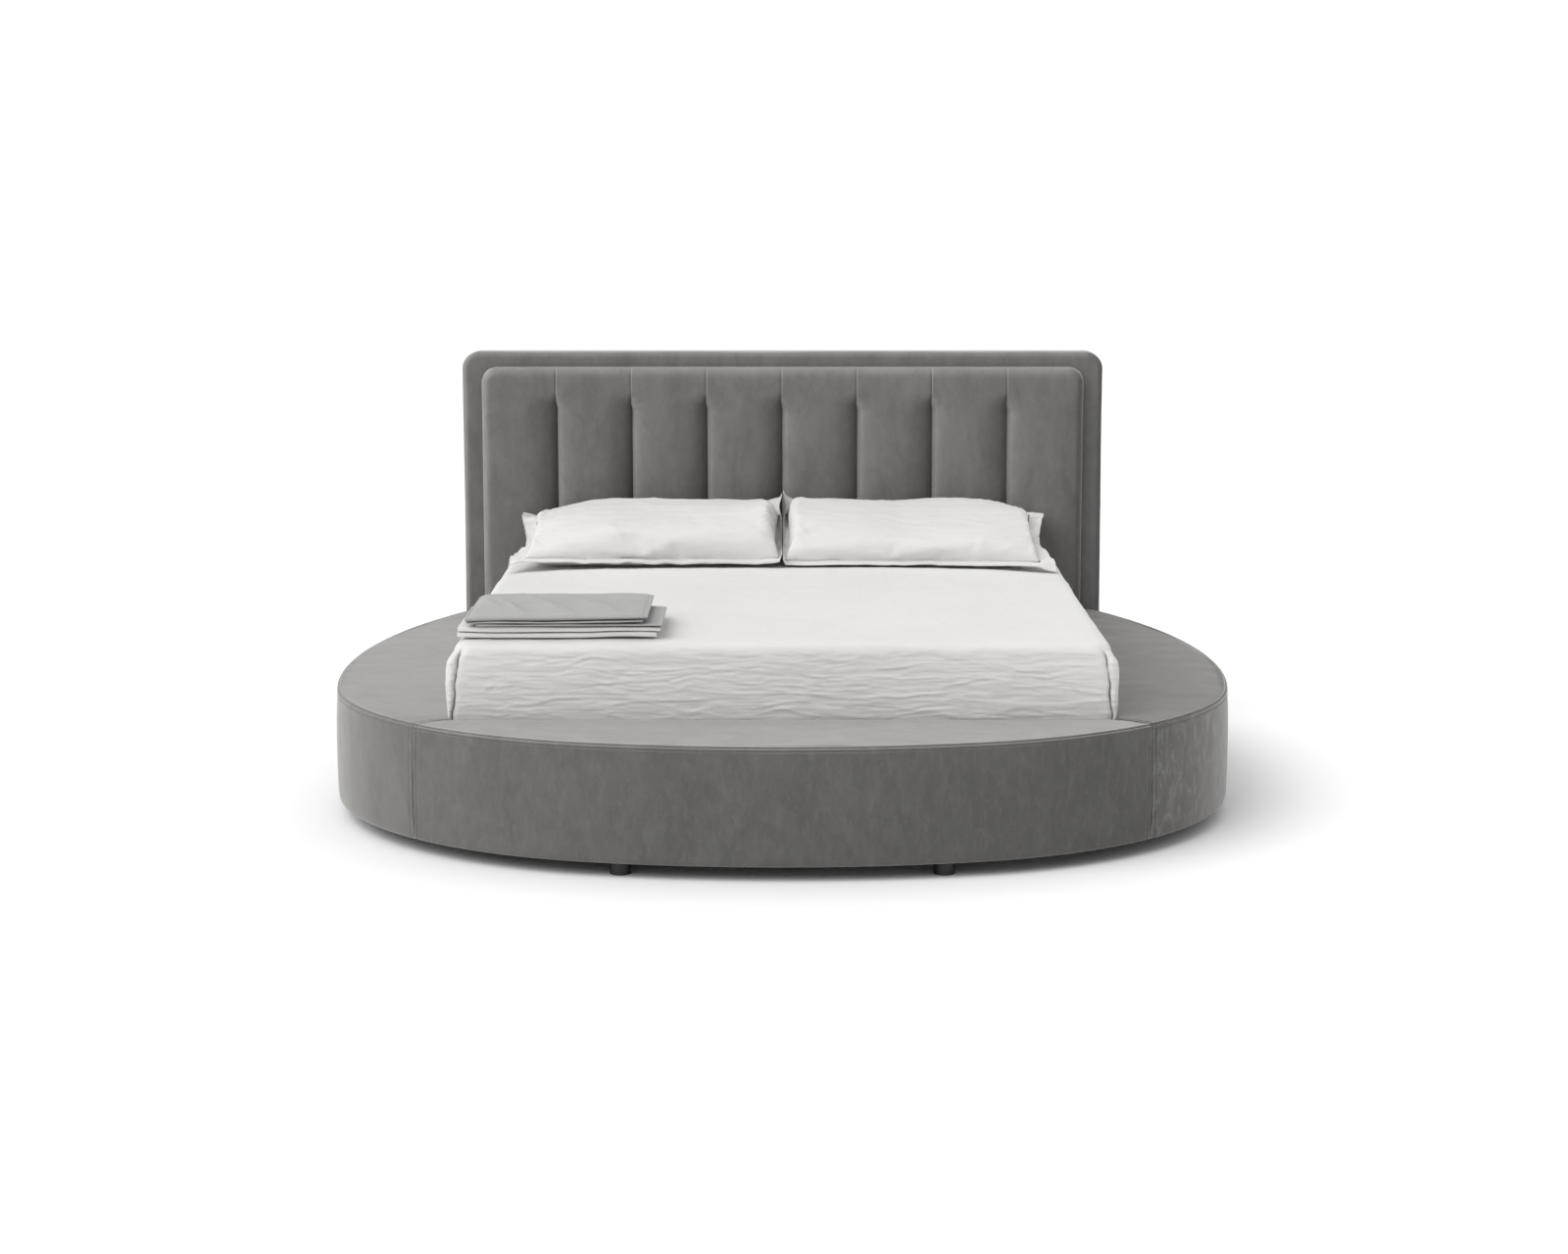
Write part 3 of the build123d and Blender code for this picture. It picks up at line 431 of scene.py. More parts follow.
def linen(name, colour, shade, slub, streak):
    """Washed linen: crossed threads with slubs, small crushed creases, and long ones."""
    n = material(name)
    threads = [n.bands(1.0, axis, 0.35, 1.0, 2.0, n.stretch((830, 830, 830))) for axis in "XYZ"]
    weave = n.math("MULTIPLY", n.math("ADD", n.math("ADD", threads[0], threads[1]), threads[2]), 0.333)
    slubs = n.noise(60.0, 3.0, 0.7, 0.0, n.stretch((1.0, 9.0, 9.0)))
    crush = n.noise(21.0, 5.0, 0.62, 1.6)
    creased = n.noise(9.0, 4.0, 0.6, 2.2, n.stretch((0.6, 1.0, 1.9)))
    long_folds = n.noise(17.0, 3.0, 0.5, 0.9, n.stretch((0.14, 1.0, 1.0), (0, 0, 0.24)))
    tint = n.mix(n.span(n.noise(3.0), 0.3, 0.7), colour, shade)
    flecked = n.mix(n.share(slubs, 0.55, 0.8, slub), tint, darker(colour, 0.86))
    normal = n.bumps((long_folds, 0.022, streak), (creased, 0.006, 0.30), (crush, 0.0028, 0.38),
                     (slubs, 0.0006, 0.3), (weave, 0.00035, 0.35))
    return n.finish(Base_Color=flecked, Roughness=0.88, Specular_IOR_Level=0.22, Normal=normal,
                    Sheen_Weight=0.12, Sheen_Roughness=0.5)


def ticking():
    """Knitted mattress ticking with a small quilted figure, painted darker in the quilted dimples as shade.
    """
    n = material("ticking")
    knit = [n.bands(1.0, axis, 0.2, vector=n.stretch((500, 500, 500), (0, 0, 0.785))) for axis in "XY"]
    quilt = n.span(n.cells(26.0, 0.35, "DISTANCE_TO_EDGE"), 0.0, 0.28)
    # Painted shade: the ticking is made darker towards the edges of its quilted cells, where they dip.
    colour = n.mix(quilt, (0.62, 0.60, 0.56), (0.80, 0.785, 0.75))
    normal = n.bumps((quilt, 0.004, 0.6), (n.math("ADD", *knit), 0.0004, 0.4))
    return n.finish(Base_Color=colour, Roughness=0.9, Normal=normal, Sheen_Weight=0.15)


def wood(name, light, dark, grain_scale, ply=False, dark_underside=False):
    """Wood: long grain with rings and pores, and glued layers on plywood's edges.

    On the boards under the bed, faces that look down are made near black: black dust cloth glued to the
    underside, and dark also as painted shade under the bed.
    """
    n = material(name)
    along = n.stretch((9.0, 1.3, 9.0))
    grain = n.noise(grain_scale, 6.0, 0.62, 1.2, along)
    rings = n.bands(2.6, "X", 5.0, 3.0, 1.6, along)
    pores = n.noise(260.0, 2.0, 0.5, 0.0, n.stretch((1.0, 0.08, 1.0)))
    factor = n.math("ADD", n.math("MULTIPLY", grain, 0.65), n.math("MULTIPLY", rings, 0.35))
    middle = tuple((a + b) / 2 for a, b in zip(light, dark))
    colour = n.ramp(factor, (0.25, dark), (0.55, middle), (0.8, light))
    if ply:
        layers = n.bands(1.0, "Z", 0.3, vector=n.stretch((180, 180, 180)))
        colour = n.mix(n.share(layers, 0.72, 0.9, 0.28), colour, darker(dark, 0.45))
    colour = n.mix(n.share(pores, 0.6, 0.75, 0.25), colour, darker(dark, 0.5))
    # Dust cloth and painted shade: faces that look down are made near black.
    if dark_underside:
        colour = n.mix(n.span(n.facing("Z"), -0.4, -0.6), colour, grey(0.022))
    return n.finish(Base_Color=colour, Roughness=n.span(grain, 0.2, 0.8, 0.48, 0.66),
                    Normal=n.bumps((grain, 0.0008, 0.35)))


def plywood(name, dark_underside=False):
    """Plywood, in the colours that every board here shares."""
    return wood(name, (0.56, 0.38, 0.20), (0.33, 0.19, 0.085), 3.0, ply=True, dark_underside=dark_underside)


def foam():
    """Upholstery foam: open cells and a slightly yellow tone."""
    n = material("foam")
    colour = n.ramp(n.noise(5.0, 3.0), (0.3, (0.62, 0.56, 0.38)), (0.7, (0.74, 0.69, 0.50)))
    return n.finish(Base_Color=colour, Roughness=0.95, Normal=n.bumps((n.cells(420.0), 0.0012, 0.7)))


def coated_steel():
    """Black powder-coated steel with its orange-peel texture."""
    n = material("frame_steel")
    dust = n.noise(6.0, 4.0, 0.6)
    colour = n.mix(n.span(dust, 0.35, 0.75), (0.018, 0.018, 0.019), (0.032, 0.031, 0.030))
    return n.finish(Base_Color=colour, Roughness=n.span(dust, 0.3, 0.7, 0.36, 0.5),
                    Normal=n.bumps((n.noise(520.0, 3.0, 0.6), 0.0004, 0.5)))


def moulded_plastic(name, low, high, roughness):
    """Moulded plastic with a fine spark-eroded grain and scuffs."""
    n = material(name)
    scuffs = n.noise(40.0, 5.0, 0.7, 2.0, n.stretch((1.0, 1.0, 0.3)))
    colour = n.mix(n.span(scuffs, 0.55, 0.8), grey(low), grey(high))
    return n.finish(Base_Color=colour, Roughness=n.span(scuffs, 0.4, 0.8, roughness, roughness + 0.14),
                    Normal=n.bumps((n.noise(1400.0, 2.0, 0.6), 0.0002, 0.6)))


def plated_steel():
    """Zinc-plated steel with turning marks."""
    n = material("bolt_steel")
    marks = n.bands(1.0, "Z", 0.6, 2.0, 1.0, n.stretch((2400, 2400, 2400)))
    stain = n.noise(90.0, 3.0, 0.6)
    colour = n.mix(n.span(stain, 0.4, 0.7), (0.60, 0.60, 0.58), (0.70, 0.69, 0.64))
    return n.finish(Base_Color=colour, Metallic=1.0, Roughness=n.span(stain, 0.3, 0.7, 0.26, 0.42),
                    Normal=n.bumps((marks, 0.0001, 0.3)))


def spunbond():
    """Black dust cloth of bonded fibres, with its dimpled press pattern."""
    n = material("back_cloth")
    fibres = n.noise(240.0, 5.0, 0.7, 3.0)
    colour = n.mix(n.span(fibres, 0.35, 0.7), grey(0.012), grey(0.034))
    normal = n.bumps((n.noise(2.5, 3.0), 0.012, 0.35), (n.cells(480.0, 0.2), 0.0005, 0.5),
                     (fibres, 0.0003, 0.5))
    return n.finish(Base_Color=colour, Roughness=0.85, Normal=normal, Sheen_Weight=0.1)


def thread(name, colour):
    """Sewing thread: a fine twist."""
    n = material(name)
    twist = n.bands(1.0, "DIAGONAL", vector=n.stretch((1900, 1900, 1900)))
    shade = n.mix(n.math("MULTIPLY", twist, 0.5), colour, darker(colour, 0.6))
    return n.finish(Base_Color=shade, Roughness=0.6, Normal=n.bumps((twist, 0.0002, 0.5)), Sheen_Weight=0.2)


MATERIALS = {
    "velvet": velvet("velvet"),
    "white_linen": linen("white_linen", (0.70, 0.693, 0.677), (0.67, 0.663, 0.647), 0.3, 0.05),
    "grey_linen": linen("grey_linen", (0.385, 0.382, 0.377), (0.355, 0.352, 0.347), 0.45, 0.55),
    "ticking": ticking(),
    "plywood": plywood("plywood"),
    "timber": wood("timber", (0.62, 0.44, 0.24), (0.38, 0.23, 0.10), 2.2),
    "slat_wood": wood("slat_wood", (0.70, 0.54, 0.33), (0.50, 0.34, 0.18), 4.0),
    "foam": foam(),
    "frame_steel": coated_steel(),
    "holder_plastic": moulded_plastic("holder_plastic", 0.016, 0.028, 0.42),
    "foot_plastic": moulded_plastic("foot_plastic", 0.010, 0.022, 0.36),
    "bolt_steel": plated_steel(),
    "back_cloth": spunbond(),
}
# Each module's velvet is a copy made lighter or darker: partly for the way its nap lies, and partly painted
# light, with the left module lightest and the right darkest as if lit from the bed's left, and painted sheen
# on level faces.
MODULE_VELVET = {
    "left": velvet("velvet_left", 1.20, 1.72),
    "front": velvet("velvet_front", 0.86, 2.1, 0.12, 0.20),
    "right": velvet("velvet_right", 0.66, 0.52, 0.50, -0.14),
}
# Painted light: the headboard's velvet is lighter on level faces as a painted sheen, and lighter where it
# faces the bed's left and darker where it faces right, which shades the flanks of each channel.
HEADBOARD_VELVET = velvet("velvet_headboard", 1.36, 1.9, 0.05, 0.52)
VELVET_THREAD = thread("velvet_thread", (0.085, 0.084, 0.08))
# Boards under the bed: their downward faces are near black, as dust cloth and as painted shade beneath the
# bed.
DARK_UNDERSIDE_BOARD = plywood("dark_underside_board", dark_underside=True)

for part in frame["record"]["subparts"]:
    node = frame["nodes"][part["node"]]
    node.data.materials.clear()
    dark_underside = part["node"].startswith("bottom_board")
    node.data.materials.append(DARK_UNDERSIDE_BOARD if dark_underside else MATERIALS[part["material_slot"]])


def finished(obj, slot, body, material=None):
    """Give a piece its material and the CAD body that it moves with."""
    obj.data.materials.append(material or MATERIALS[slot])
    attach(obj, body)
    return obj


# Plan of the base

def outline_arcs():
    """Centres and radii of the side, corner and front arcs on the right side."""
    side_radius = (WIDEST_REACH**2 + HEAD_DRAW_IN**2) / (2 * HEAD_DRAW_IN)
    front_radius = (HALF_WELL**2 + FRONT_FALL**2) / (2 * FRONT_FALL)
    side = np.array([HALF_WIDTH - side_radius, HEAD_Y - WIDEST_REACH])
    front = np.array([0.0, HEAD_Y - FRONT_REACH + front_radius])
    end = seam_end()
    matrix = 2 * np.array([end - side, end - front])
    known = np.array([side_radius**2 - side @ side + end @ end, front_radius**2 - front @ front + end @ end])
    start = np.linalg.solve(matrix, known)
    step = np.linalg.solve(matrix, np.array([-2 * side_radius, -2 * front_radius]))
    away = start - end
    square, half = step @ step - 1, away @ step
    radius = (-half + math.sqrt(half**2 - square * (away @ away))) / square
    return (side, side_radius), (start + step * radius, radius), (front, front_radius)


def seam_end():
    """Where the right module seam comes out at the wall."""
    return np.array([HALF_WELL + SEAM_DEPTH * math.cos(SEAM_ANGLE),
                     WELL_FRONT_Y - SEAM_DEPTH * math.sin(SEAM_ANGLE)])


def outline():
    """Points and outward normals along the right half of the outline, and the reach along it."""
    arcs = outline_arcs()
    (side, side_r), (corner, _), (front, front_r) = arcs
    head = np.array([side[0] + math.sqrt(side_r**2 - (HEAD_Y - side[1]) ** 2), HEAD_Y])
    turn_one = side + side_r * (corner - side) / np.linalg.norm(corner - side)
    turn_two = front + front_r * (corner - front) / np.linalg.norm(corner - front)
    foot = front + np.array([0, -front_r])
    ends = (head, turn_one, turn_two, foot)
    points, normals = [], []
    for (centre, radius), first, last in zip(arcs, ends[:-1], ends[1:]):
        low, high = (math.atan2(*(end - centre)[::-1]) for end in (first, last))
        turn = np.linspace(low, high, 400)
        ray = np.stack([np.cos(turn), np.sin(turn)], -1)
        skip = 1 if points else 0
        points.extend((centre + radius * ray)[skip:])
        normals.extend(ray[skip:])
    points, normals = np.array(points), np.array(normals)
    return points, normals, distances(points)


OUTLINE, OUTWARD, REACH = outline()
SEAM_REACH = float(REACH[np.argmin(np.linalg.norm(OUTLINE - seam_end(), axis=1))])


def outline_at(reach):
    """Points and normals on the outline, at distances from the headboard past the front's middle."""
    mirrored = reach > REACH[-1]
    place = np.where(mirrored, 2 * REACH[-1] - reach, reach)
    flip = np.stack([np.where(mirrored, -1, 1), np.ones_like(place)], -1)
    normal = read_at(place, REACH, OUTWARD) * flip
    return read_at(place, REACH, OUTLINE) * flip, normal / np.linalg.norm(normal, axis=-1, keepdims=True)


# Base modules

SEAM_FINE = np.array([0, 0.4, 1.0, 1.8, 2.8, 4.2, 6, 9, 12, 14, 15.2, 16, 16.8, 18, 20, 25]) / 1000
SEAM_ROUND = 0.0045
SEAM_STITCH = 0.016
SEAM_TURN = 0.02
STITCH_DROP = 0.0115
COVER_SKIN = 0.0025
COVER_STEP = 0.014
WELL_EDGE = 0.006
HEM_ROUND = 0.010

# The row of the rim, counted from its first, that the seam lies on.
RIM_SEAM = 8


def base_profile():
    """Section of a module's cover, from its lip in the well over the top and the rim to its hem.

    Each row is its kind, how far in it lies from the well's edge and from the outline, its share of
    the way from the one to the other, and its height.
    """
    rows = [("lip", 0, 0, 0, z) for z in np.linspace(BASE_TOP - LIP_DEPTH, BASE_TOP - WELL_EDGE, 7)]
    rows += [("edge", WELL_EDGE * (1 - math.cos(a)), 0, 0, BASE_TOP - WELL_EDGE * (1 - math.sin(a)))
             for a in quarter(5)]
    rows += [("top", WELL_EDGE, RIM, share, BASE_TOP) for share in np.linspace(0, 1, 24)[1:]]
    rows += [("rim", 0, RIM * (1 - math.sin(a)), 1, BASE_TOP - RIM * (1 - math.cos(a)))
             for a in quarter(21)]
    drops = np.concatenate([np.linspace(0.001, 0.022, 22), np.linspace(0.026, 0.29, 30)])
    rows += [("wall", 0, 0, 1, BASE_TOP - RIM - drop) for drop in drops]
    rows += [("under", 0, HEM_ROUND * (1 - math.cos(a)), 1, WALL_BOTTOM + HEM_ROUND * (1 - math.sin(a)))
             for a in quarter(6)]
    rows += [("hem", 0, inset, 1, WALL_BOTTOM) for inset in (0.010, 0.018, 0.026, 0.034)]
    return rows


def module_plan(front):
    """Plan of the front module, or of the right one.

    Gives its edge at the well and the way in from it, its outline and the normals there, how far
    each point is from a seam, and the length of the edge as a share of the outline's.
    """
    if front:
        length = 2 * (REACH[-1] - SEAM_REACH)
        along = spaced(length, COVER_STEP, SEAM_FINE)
        outer, normal = outline_at(SEAM_REACH + along)
        inner = points_of(HALF_WELL - 2 * HALF_WELL * along / length, WELL_FRONT_Y)[:, :2]
        return inner, (0.0, -1.0), outer, normal, np.minimum(along, length - along), 2 * HALF_WELL / length
    along = spaced(SEAM_REACH, COVER_STEP, SEAM_FINE, "end")
    outer, normal = outline_at(along)
    inner = points_of(HALF_WELL, HEAD_Y + (WELL_FRONT_Y - HEAD_Y) * along / SEAM_REACH)[:, :2]
    return inner, (1.0, 0.0), outer, normal, SEAM_REACH - along, (HEAD_Y - WELL_FRONT_Y) / SEAM_REACH


def module_cover(module):
    """Velvet cover of one module and the stitches below its rim. The left one mirrors the right."""
    inner, into, outer, normal, from_seam, shrink = module_plan(module == "front")
    kinds, *columns = zip(*base_profile())
    kinds = np.array(kinds)
    from_well, from_wall, out, height = (np.array(column, float)[:, None, None] for column in columns)
    start, stop = inner + np.array(into) * from_well, outer - normal * from_wall
    plan = start + (stop - start) * out
    points = points_of(plan[..., 0], plan[..., 1], height[..., 0])
    near = from_seam * ((1 - out) * shrink + out)[..., 0]
    normals = grid_normals(points)
    if normals[kinds == "top", :, 2].mean() < 0:
        normals = -normals
    top, wall = ((kinds == kind)[:, None] for kind in ("top", "wall"))
    face = (BASE_TOP - height[..., 0] - RIM - 0.02) / (BASE_TOP - RIM - WALL_BOTTOM - 0.03)
    push = top * 0.0022 * np.sin(np.pi * out[..., 0]) ** 0.7
    push = push + wall * 0.0028 * np.sin(np.pi * np.clip(face, 0, 1)) ** 0.8
    push = push + (top | wall) * (0.0012 * noise(points, 5.0, 3) + 0.0007 * noise(points, 13.0, 4))
    down = np.cumsum(np.linalg.norm(np.diff(points, axis=0, prepend=points[:1]), axis=-1), axis=0)
    across = down - down[np.argmax(kinds == "rim") + RIM_SEAM]
    push -= 0.0026 * hump(across, 0, 0.0014)
    push += 0.0009 * hump(np.abs(across), 0.0055, 0.0035)
    push -= 0.0021 * hump(across, STITCH_DROP, 0.0014)
    push += 0.0005 * hump(across, 0.5 * STITCH_DROP, 0.018) * noise(points, 70.0, 6)
    push -= edge_drop(near, SEAM_ROUND)
    push -= 0.0014 * hump(near, SEAM_STITCH, 0.0014) * (kinds != "lip")[:, None]
    push += 0.0011 * hump(near, 0.006, 0.02) * noise(points, (60.0, 60.0, 38.0), 8)
    shaped = points + normals * np.maximum(push, -COVER_SKIN)[..., None]
    parts = [shaped, shaped[:, -1:] - normals[:, -1:] * SEAM_TURN]
    if module == "front":
        parts.insert(0, shaped[:, :1] - normals[:, :1] * SEAM_TURN)
    mirror = np.array([-1.0 if module == "left" else 1.0, 1.0, 1.0])
    grid = np.concatenate(parts, axis=1) * mirror
    faces = grid_faces(*grid.shape[:2], flip=module == "left")
    obj = new_object(f"cover_{module}_velvet", grid.reshape(-1, 3), faces)
    stitched = np.argmin(np.abs(across[:, across.shape[1] // 2] - STITCH_DROP))
    path, up = (shaped * mirror)[stitched, ::2], (normals * mirror)[stitched, ::2]
    return obj, stitches(f"topstitch_{module}", path, up)


for module in ("left", "front", "right"):
    cover, row = module_cover(module)
    finished(cover, "velvet", "base", MODULE_VELVET[module])
    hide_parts(f"cover_{module}")
    thicken(cover)
    finished(row, "velvet", "base", VELVET_THREAD)


# Headboard

HEADBOARD_CORNER = 0.058
HEADBOARD_ROUND = 0.020
SIDE_POINTS = 70
TOP_POINTS = 130


def panel_ring(inset, depth):
    """Points up the outer panel's left side, over its top and down its right side, behind its face."""
    radius = max(HEADBOARD_CORNER - inset, 0.0008)
    side, top = HEADBOARD_HALF - inset, HEADBOARD_TOP - inset
    turn = np.linspace(np.pi, np.pi / 2, 22)
    rise = np.linspace(WALL_BOTTOM + inset, top - radius, SIDE_POINTS + 1)[:-1]
    left_x = np.concatenate([np.full(SIDE_POINTS, -side), radius - side + radius * np.cos(turn)])
    left_z = np.concatenate([rise, top - radius + radius * np.sin(turn)])
    top_x = np.linspace(radius - side, side - radius, TOP_POINTS + 1)[1:-1]
    x = np.concatenate([left_x, top_x, -left_x[::-1]])
    z = np.concatenate([left_z, np.full(len(top_x), top), left_z[::-1]])
    return points_of(x, HEAD_Y + depth, z)


def headboard_velvet():
    """Velvet over the outer panel: back edge, sides and top, rounded front edge and the face."""
    rows = [panel_ring(0, depth) for depth in np.linspace(HEADBOARD_DEPTH - 0.0005, HEADBOARD_ROUND, 9)]
    for a in quarter(10):
        rows.append(panel_ring(HEADBOARD_ROUND * (1 - math.cos(a)), HEADBOARD_ROUND * (1 - math.sin(a))))
    for inset in np.linspace(0.028, 0.15, 12):
        ring = panel_ring(inset, 0)
        ring[[0, -1], 2] = WALL_BOTTOM + 0.02
        rows.append(ring)
    points = np.array(rows)
    normals = grid_normals(points)
    if normals[12, 20, 0] > 0:
        normals = -normals
    front = smooth(-points[..., 1], -HEAD_Y - 0.02, -HEAD_Y - 0.004)
    push = 0.0016 * noise(points, 4.0, 11) + 0.0008 * noise(points, 11.0, 12)
    push += front * 0.0008 * noise(points, 30.0, 13)
    edge = smooth(points[..., 1], HEAD_Y + 0.085, HEAD_Y + 0.0995)
    shaped = points + normals * (push * (1 - edge))[..., None]
    shaped[..., 1] = np.maximum(shaped[..., 1], HEAD_Y - 0.0018)
    count, columns = shaped.shape[:2]
    faces = grid_faces(count, columns).tolist()
    faces.append([(count - 1) * columns + j for j in range(columns)][::-1])
    return new_object("headboard_velvet", shaped.reshape(-1, 3), faces)


def headboard_hem():
    """The velvet's hem, turned under the headboard and fixed along its lower edge."""
    half, face, bend = HEADBOARD_HALF - 0.004, HEAD_Y - 0.0022, 0.008
    turn = np.linspace(0, np.pi / 2, 7)
    flat = HEAD_Y + np.linspace(0.02, 0.094, 9)
    x = spaced(2 * half, 0.03, np.zeros(1)) - half
    y = np.concatenate([[face], face + bend * (1 - np.cos(turn)), flat])
    z = np.concatenate([[WALL_BOTTOM + 0.03], WALL_BOTTOM + 0.006 - bend * np.sin(turn),
                        np.full_like(flat, WALL_BOTTOM - 0.002)])
    gx, gy = np.meshgrid(x, y)
    wave = noise(points_of(gx, gy), 9.0, 15)
    gz = z[:, None] - 0.0012 * (1 + wave) * (z < WALL_BOTTOM)[:, None]
    return new_object("headboard_hem", points_of(gx, gy, gz).reshape(-1, 3), grid_faces(len(y), len(x)))


hem = finished(headboard_hem(), "velvet", "base", HEADBOARD_VELVET)
thicken(hem, offset=0.0)

board = finished(headboard_velvet(), "velvet", "base", HEADBOARD_VELVET)
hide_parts("headboard_cover")
thicken(board)

PANEL_FINE = np.array([0, 0.6, 1.6, 3, 5, 7.5, 10.5, 14, 18, 23, 29]) / 1000
CHANNEL_FINE = np.array([0, 1.2, 2.5, 4, 6, 9, 13, 18, 24]) / 1000
CHANNEL_WIDTH = 2 * PANEL_HALF / CHANNELS
CHANNEL_START = PANEL_TOP - 0.122
PANEL_CORNER = 0.050
PANEL_ROUND = 0.026


def channel_panel():
    """The inner panel: eight upright channels sewn into it, rounded edges and soft sides."""
    columns = []
    for number in range(CHANNELS):
        first = PANEL_FINE if number == 0 else CHANNEL_FINE
        last = PANEL_FINE if number == CHANNELS - 1 else CHANNEL_FINE
        steps = np.linspace(first[-1], CHANNEL_WIDTH - last[-1], 26)[1:-1]
        local = np.concatenate([first, steps, CHANNEL_WIDTH - last[::-1]])
        columns.extend(local[:-1] + CHANNEL_WIDTH * number - PANEL_HALF)
    down = np.concatenate([PANEL_FINE, np.arange(0.034, 0.15, 0.0045),
                           np.linspace(0.15, PANEL_TOP - PANEL_BOTTOM, 78)])
    gx, gz = np.meshgrid([*columns, PANEL_HALF], PANEL_TOP - down)
    px, below, edge = corner_rounded(gx, -gz, PANEL_HALF, -PANEL_TOP, PANEL_CORNER)
    pz = -below
    plain = points_of(px, 0.0, pz)
    start = CHANNEL_START + 0.004 * noise(plain, (7.0, 1.0, 0.2), 21)
    across = px + 0.0042 * smooth(pz - start, -0.022, 0.004) + PANEL_HALF
    number = np.clip((across / CHANNEL_WIDTH).astype(int), 0, CHANNELS - 1)
    t = (across - number * CHANNEL_WIDTH) / CHANNEL_WIDTH * 2 - 1
    seam_side = np.where(t < 0, number > 0, number < CHANNELS - 1)
    to_seam = (1 - np.abs(t)) * CHANNEL_WIDTH / 2
    sewn = smooth(start - pz, -0.040, 0.030)
    bow = np.abs(t) ** np.where(t > 0, 2.6, 3.8) * np.where(seam_side, 1.0, 0.30)
    dip = np.where(t > 0, 0.0320, 0.0170) * bow * (0.05 + 0.95 * sewn)
    pinch = 0.022 * np.exp(-to_seam / 0.0055) * sewn ** 0.7 + 0.0026 * hump(to_seam, 0, 0.0022)
    roll_over = 0.013 * np.clip(1 - (PANEL_TOP - pz) / 0.062, 0, 1) ** 2.2
    pull = 0.0022 * seam_side * hump(start - pz, 0, 0.035) * hump(to_seam, 0, 0.030)
    fan = noise(points_of(np.arctan2(pz - start, to_seam + 0.004) * 0.3, to_seam * 2, number), 9.0, 22)
    soft = 0.0016 * noise(plain, (5.0, 1.0, 3.0), 23) + 0.0007 * noise(plain, (24.0, 1.0, 9.0), 24)
    depth = PANEL_DEPTH - edge_drop(edge, PANEL_ROUND) - dip - seam_side * pinch - pull - roll_over
    depth += soft * smooth(edge, 0.004, 0.04) + 0.0012 * fan * hump(np.hypot(pz - start, to_seam), 0, 0.055)
    points = list(points_of(px, HEAD_Y - depth, pz).reshape(-1, 3))
    faces = grid_faces(*gx.shape).tolist()
    previous = grid_border(*gx.shape)
    rim = np.array([points[index] for index in previous])
    swell = points_of(np.sign(rim[:, 0]) * (np.abs(rim[:, 0]) > PANEL_HALF - 0.03), 0.0,
                      rim[:, 2] > PANEL_TOP - 0.03) * 0.0020
    for share in (0.25, 0.6, 0.85, 1.0):
        row = rim + swell * math.sin(math.pi * share)
        row[:, 1] += (HEAD_Y - LAY_GAP - rim[:, 1]) * share
        previous = join_row(points, faces, previous, row)
    return new_object("channel_panel_velvet", points, faces)


panel = finished(channel_panel(), "velvet", "base", HEADBOARD_VELVET)
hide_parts(*[f"channel_pad_{n}" for n in range(1, CHANNELS + 1)])
thicken(panel)


# Mattress

MATTRESS_CORNER = 0.035
MATTRESS_TAPE = 0.008
BORDER_SEAMS = (0.33, 0.67)


def block_ring(inset, height):
    """Points round the mattress, at an inset from its outline."""
    radius = max(MATTRESS_CORNER - inset, 0.002)
    x = MATTRESS_HALF - inset - radius
    low, high = MATTRESS_FRONT + inset + radius, MATTRESS_BACK - inset - radius
    centres = np.array([(x, high), (-x, high), (-x, low), (x, low)])
    points = []
    for corner, centre in enumerate(centres):
        turn = (corner + np.linspace(0, 1, 9)) * np.pi / 2
        arc = centre + radius * np.stack([np.cos(turn), np.sin(turn)], -1)
        points.extend(arc)
        points.extend(np.linspace(arc[-1], arc[-1] + centres[(corner + 1) % 4] - centre, 61)[1:-1])
    points = np.array(points)
    return points_of(points[:, 0], points[:, 1], MATTRESS_LOW + height)


def mattress_mesh():
    """Mattress: quilted faces, bulging border with two seams, and a taped edge above and below."""
    thick = MATTRESS_HIGH - MATTRESS_LOW
    taped = [(MATTRESS_TAPE * (1 - math.cos(a)) + 0.001, MATTRESS_TAPE * (1 + math.sin(a)))
             for a in np.linspace(-np.pi / 2, np.pi / 2, 9)]
    profile = [(0.16, 0.0), (0.10, 0.0), (0.06, 0.0), (0.035, 0.0005)]
    profile += [(inset, rise + 0.002) for inset, rise in taped]
    for share in np.linspace(0.02, 0.98, 25):
        belly = 0.006 + 0.004 * (1 - math.sin(math.pi * share) ** 0.6)
        belly += sum(0.003 * hump(share, seam, 0.012) for seam in BORDER_SEAMS)
        profile.append((belly, 0.020 + (thick - 0.040) * share))
    profile += [(inset, rise + thick - 0.018) for inset, rise in taped]
    profile += [(0.035, thick - 0.0005), (0.06, thick), (0.10, thick), (0.16, thick)]
    points = np.array([block_ring(inset, rise) for inset, rise in profile])
    rows, columns = points.shape[:2]
    faces = grid_faces(rows, columns, wrap=True).tolist()
    faces.append(list(range(columns))[::-1])
    faces.append([(rows - 1) * columns + k for k in range(columns)])
    return new_object("mattress_ticking", points.reshape(-1, 3), faces)


pad = finished(mattress_mesh(), "ticking", "mattress")
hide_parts("mattress")


# Bed cover

CORNER_FINE = np.array([0, 2, 4, 6, 8, 10, 12.5, 15, 18, 21, 25, 30, 36, 43, 52, 62, 74]) / 1000
COVER_ROUND = 0.034
COVER_CORNER = 0.050
COVER_HEM = 0.3583


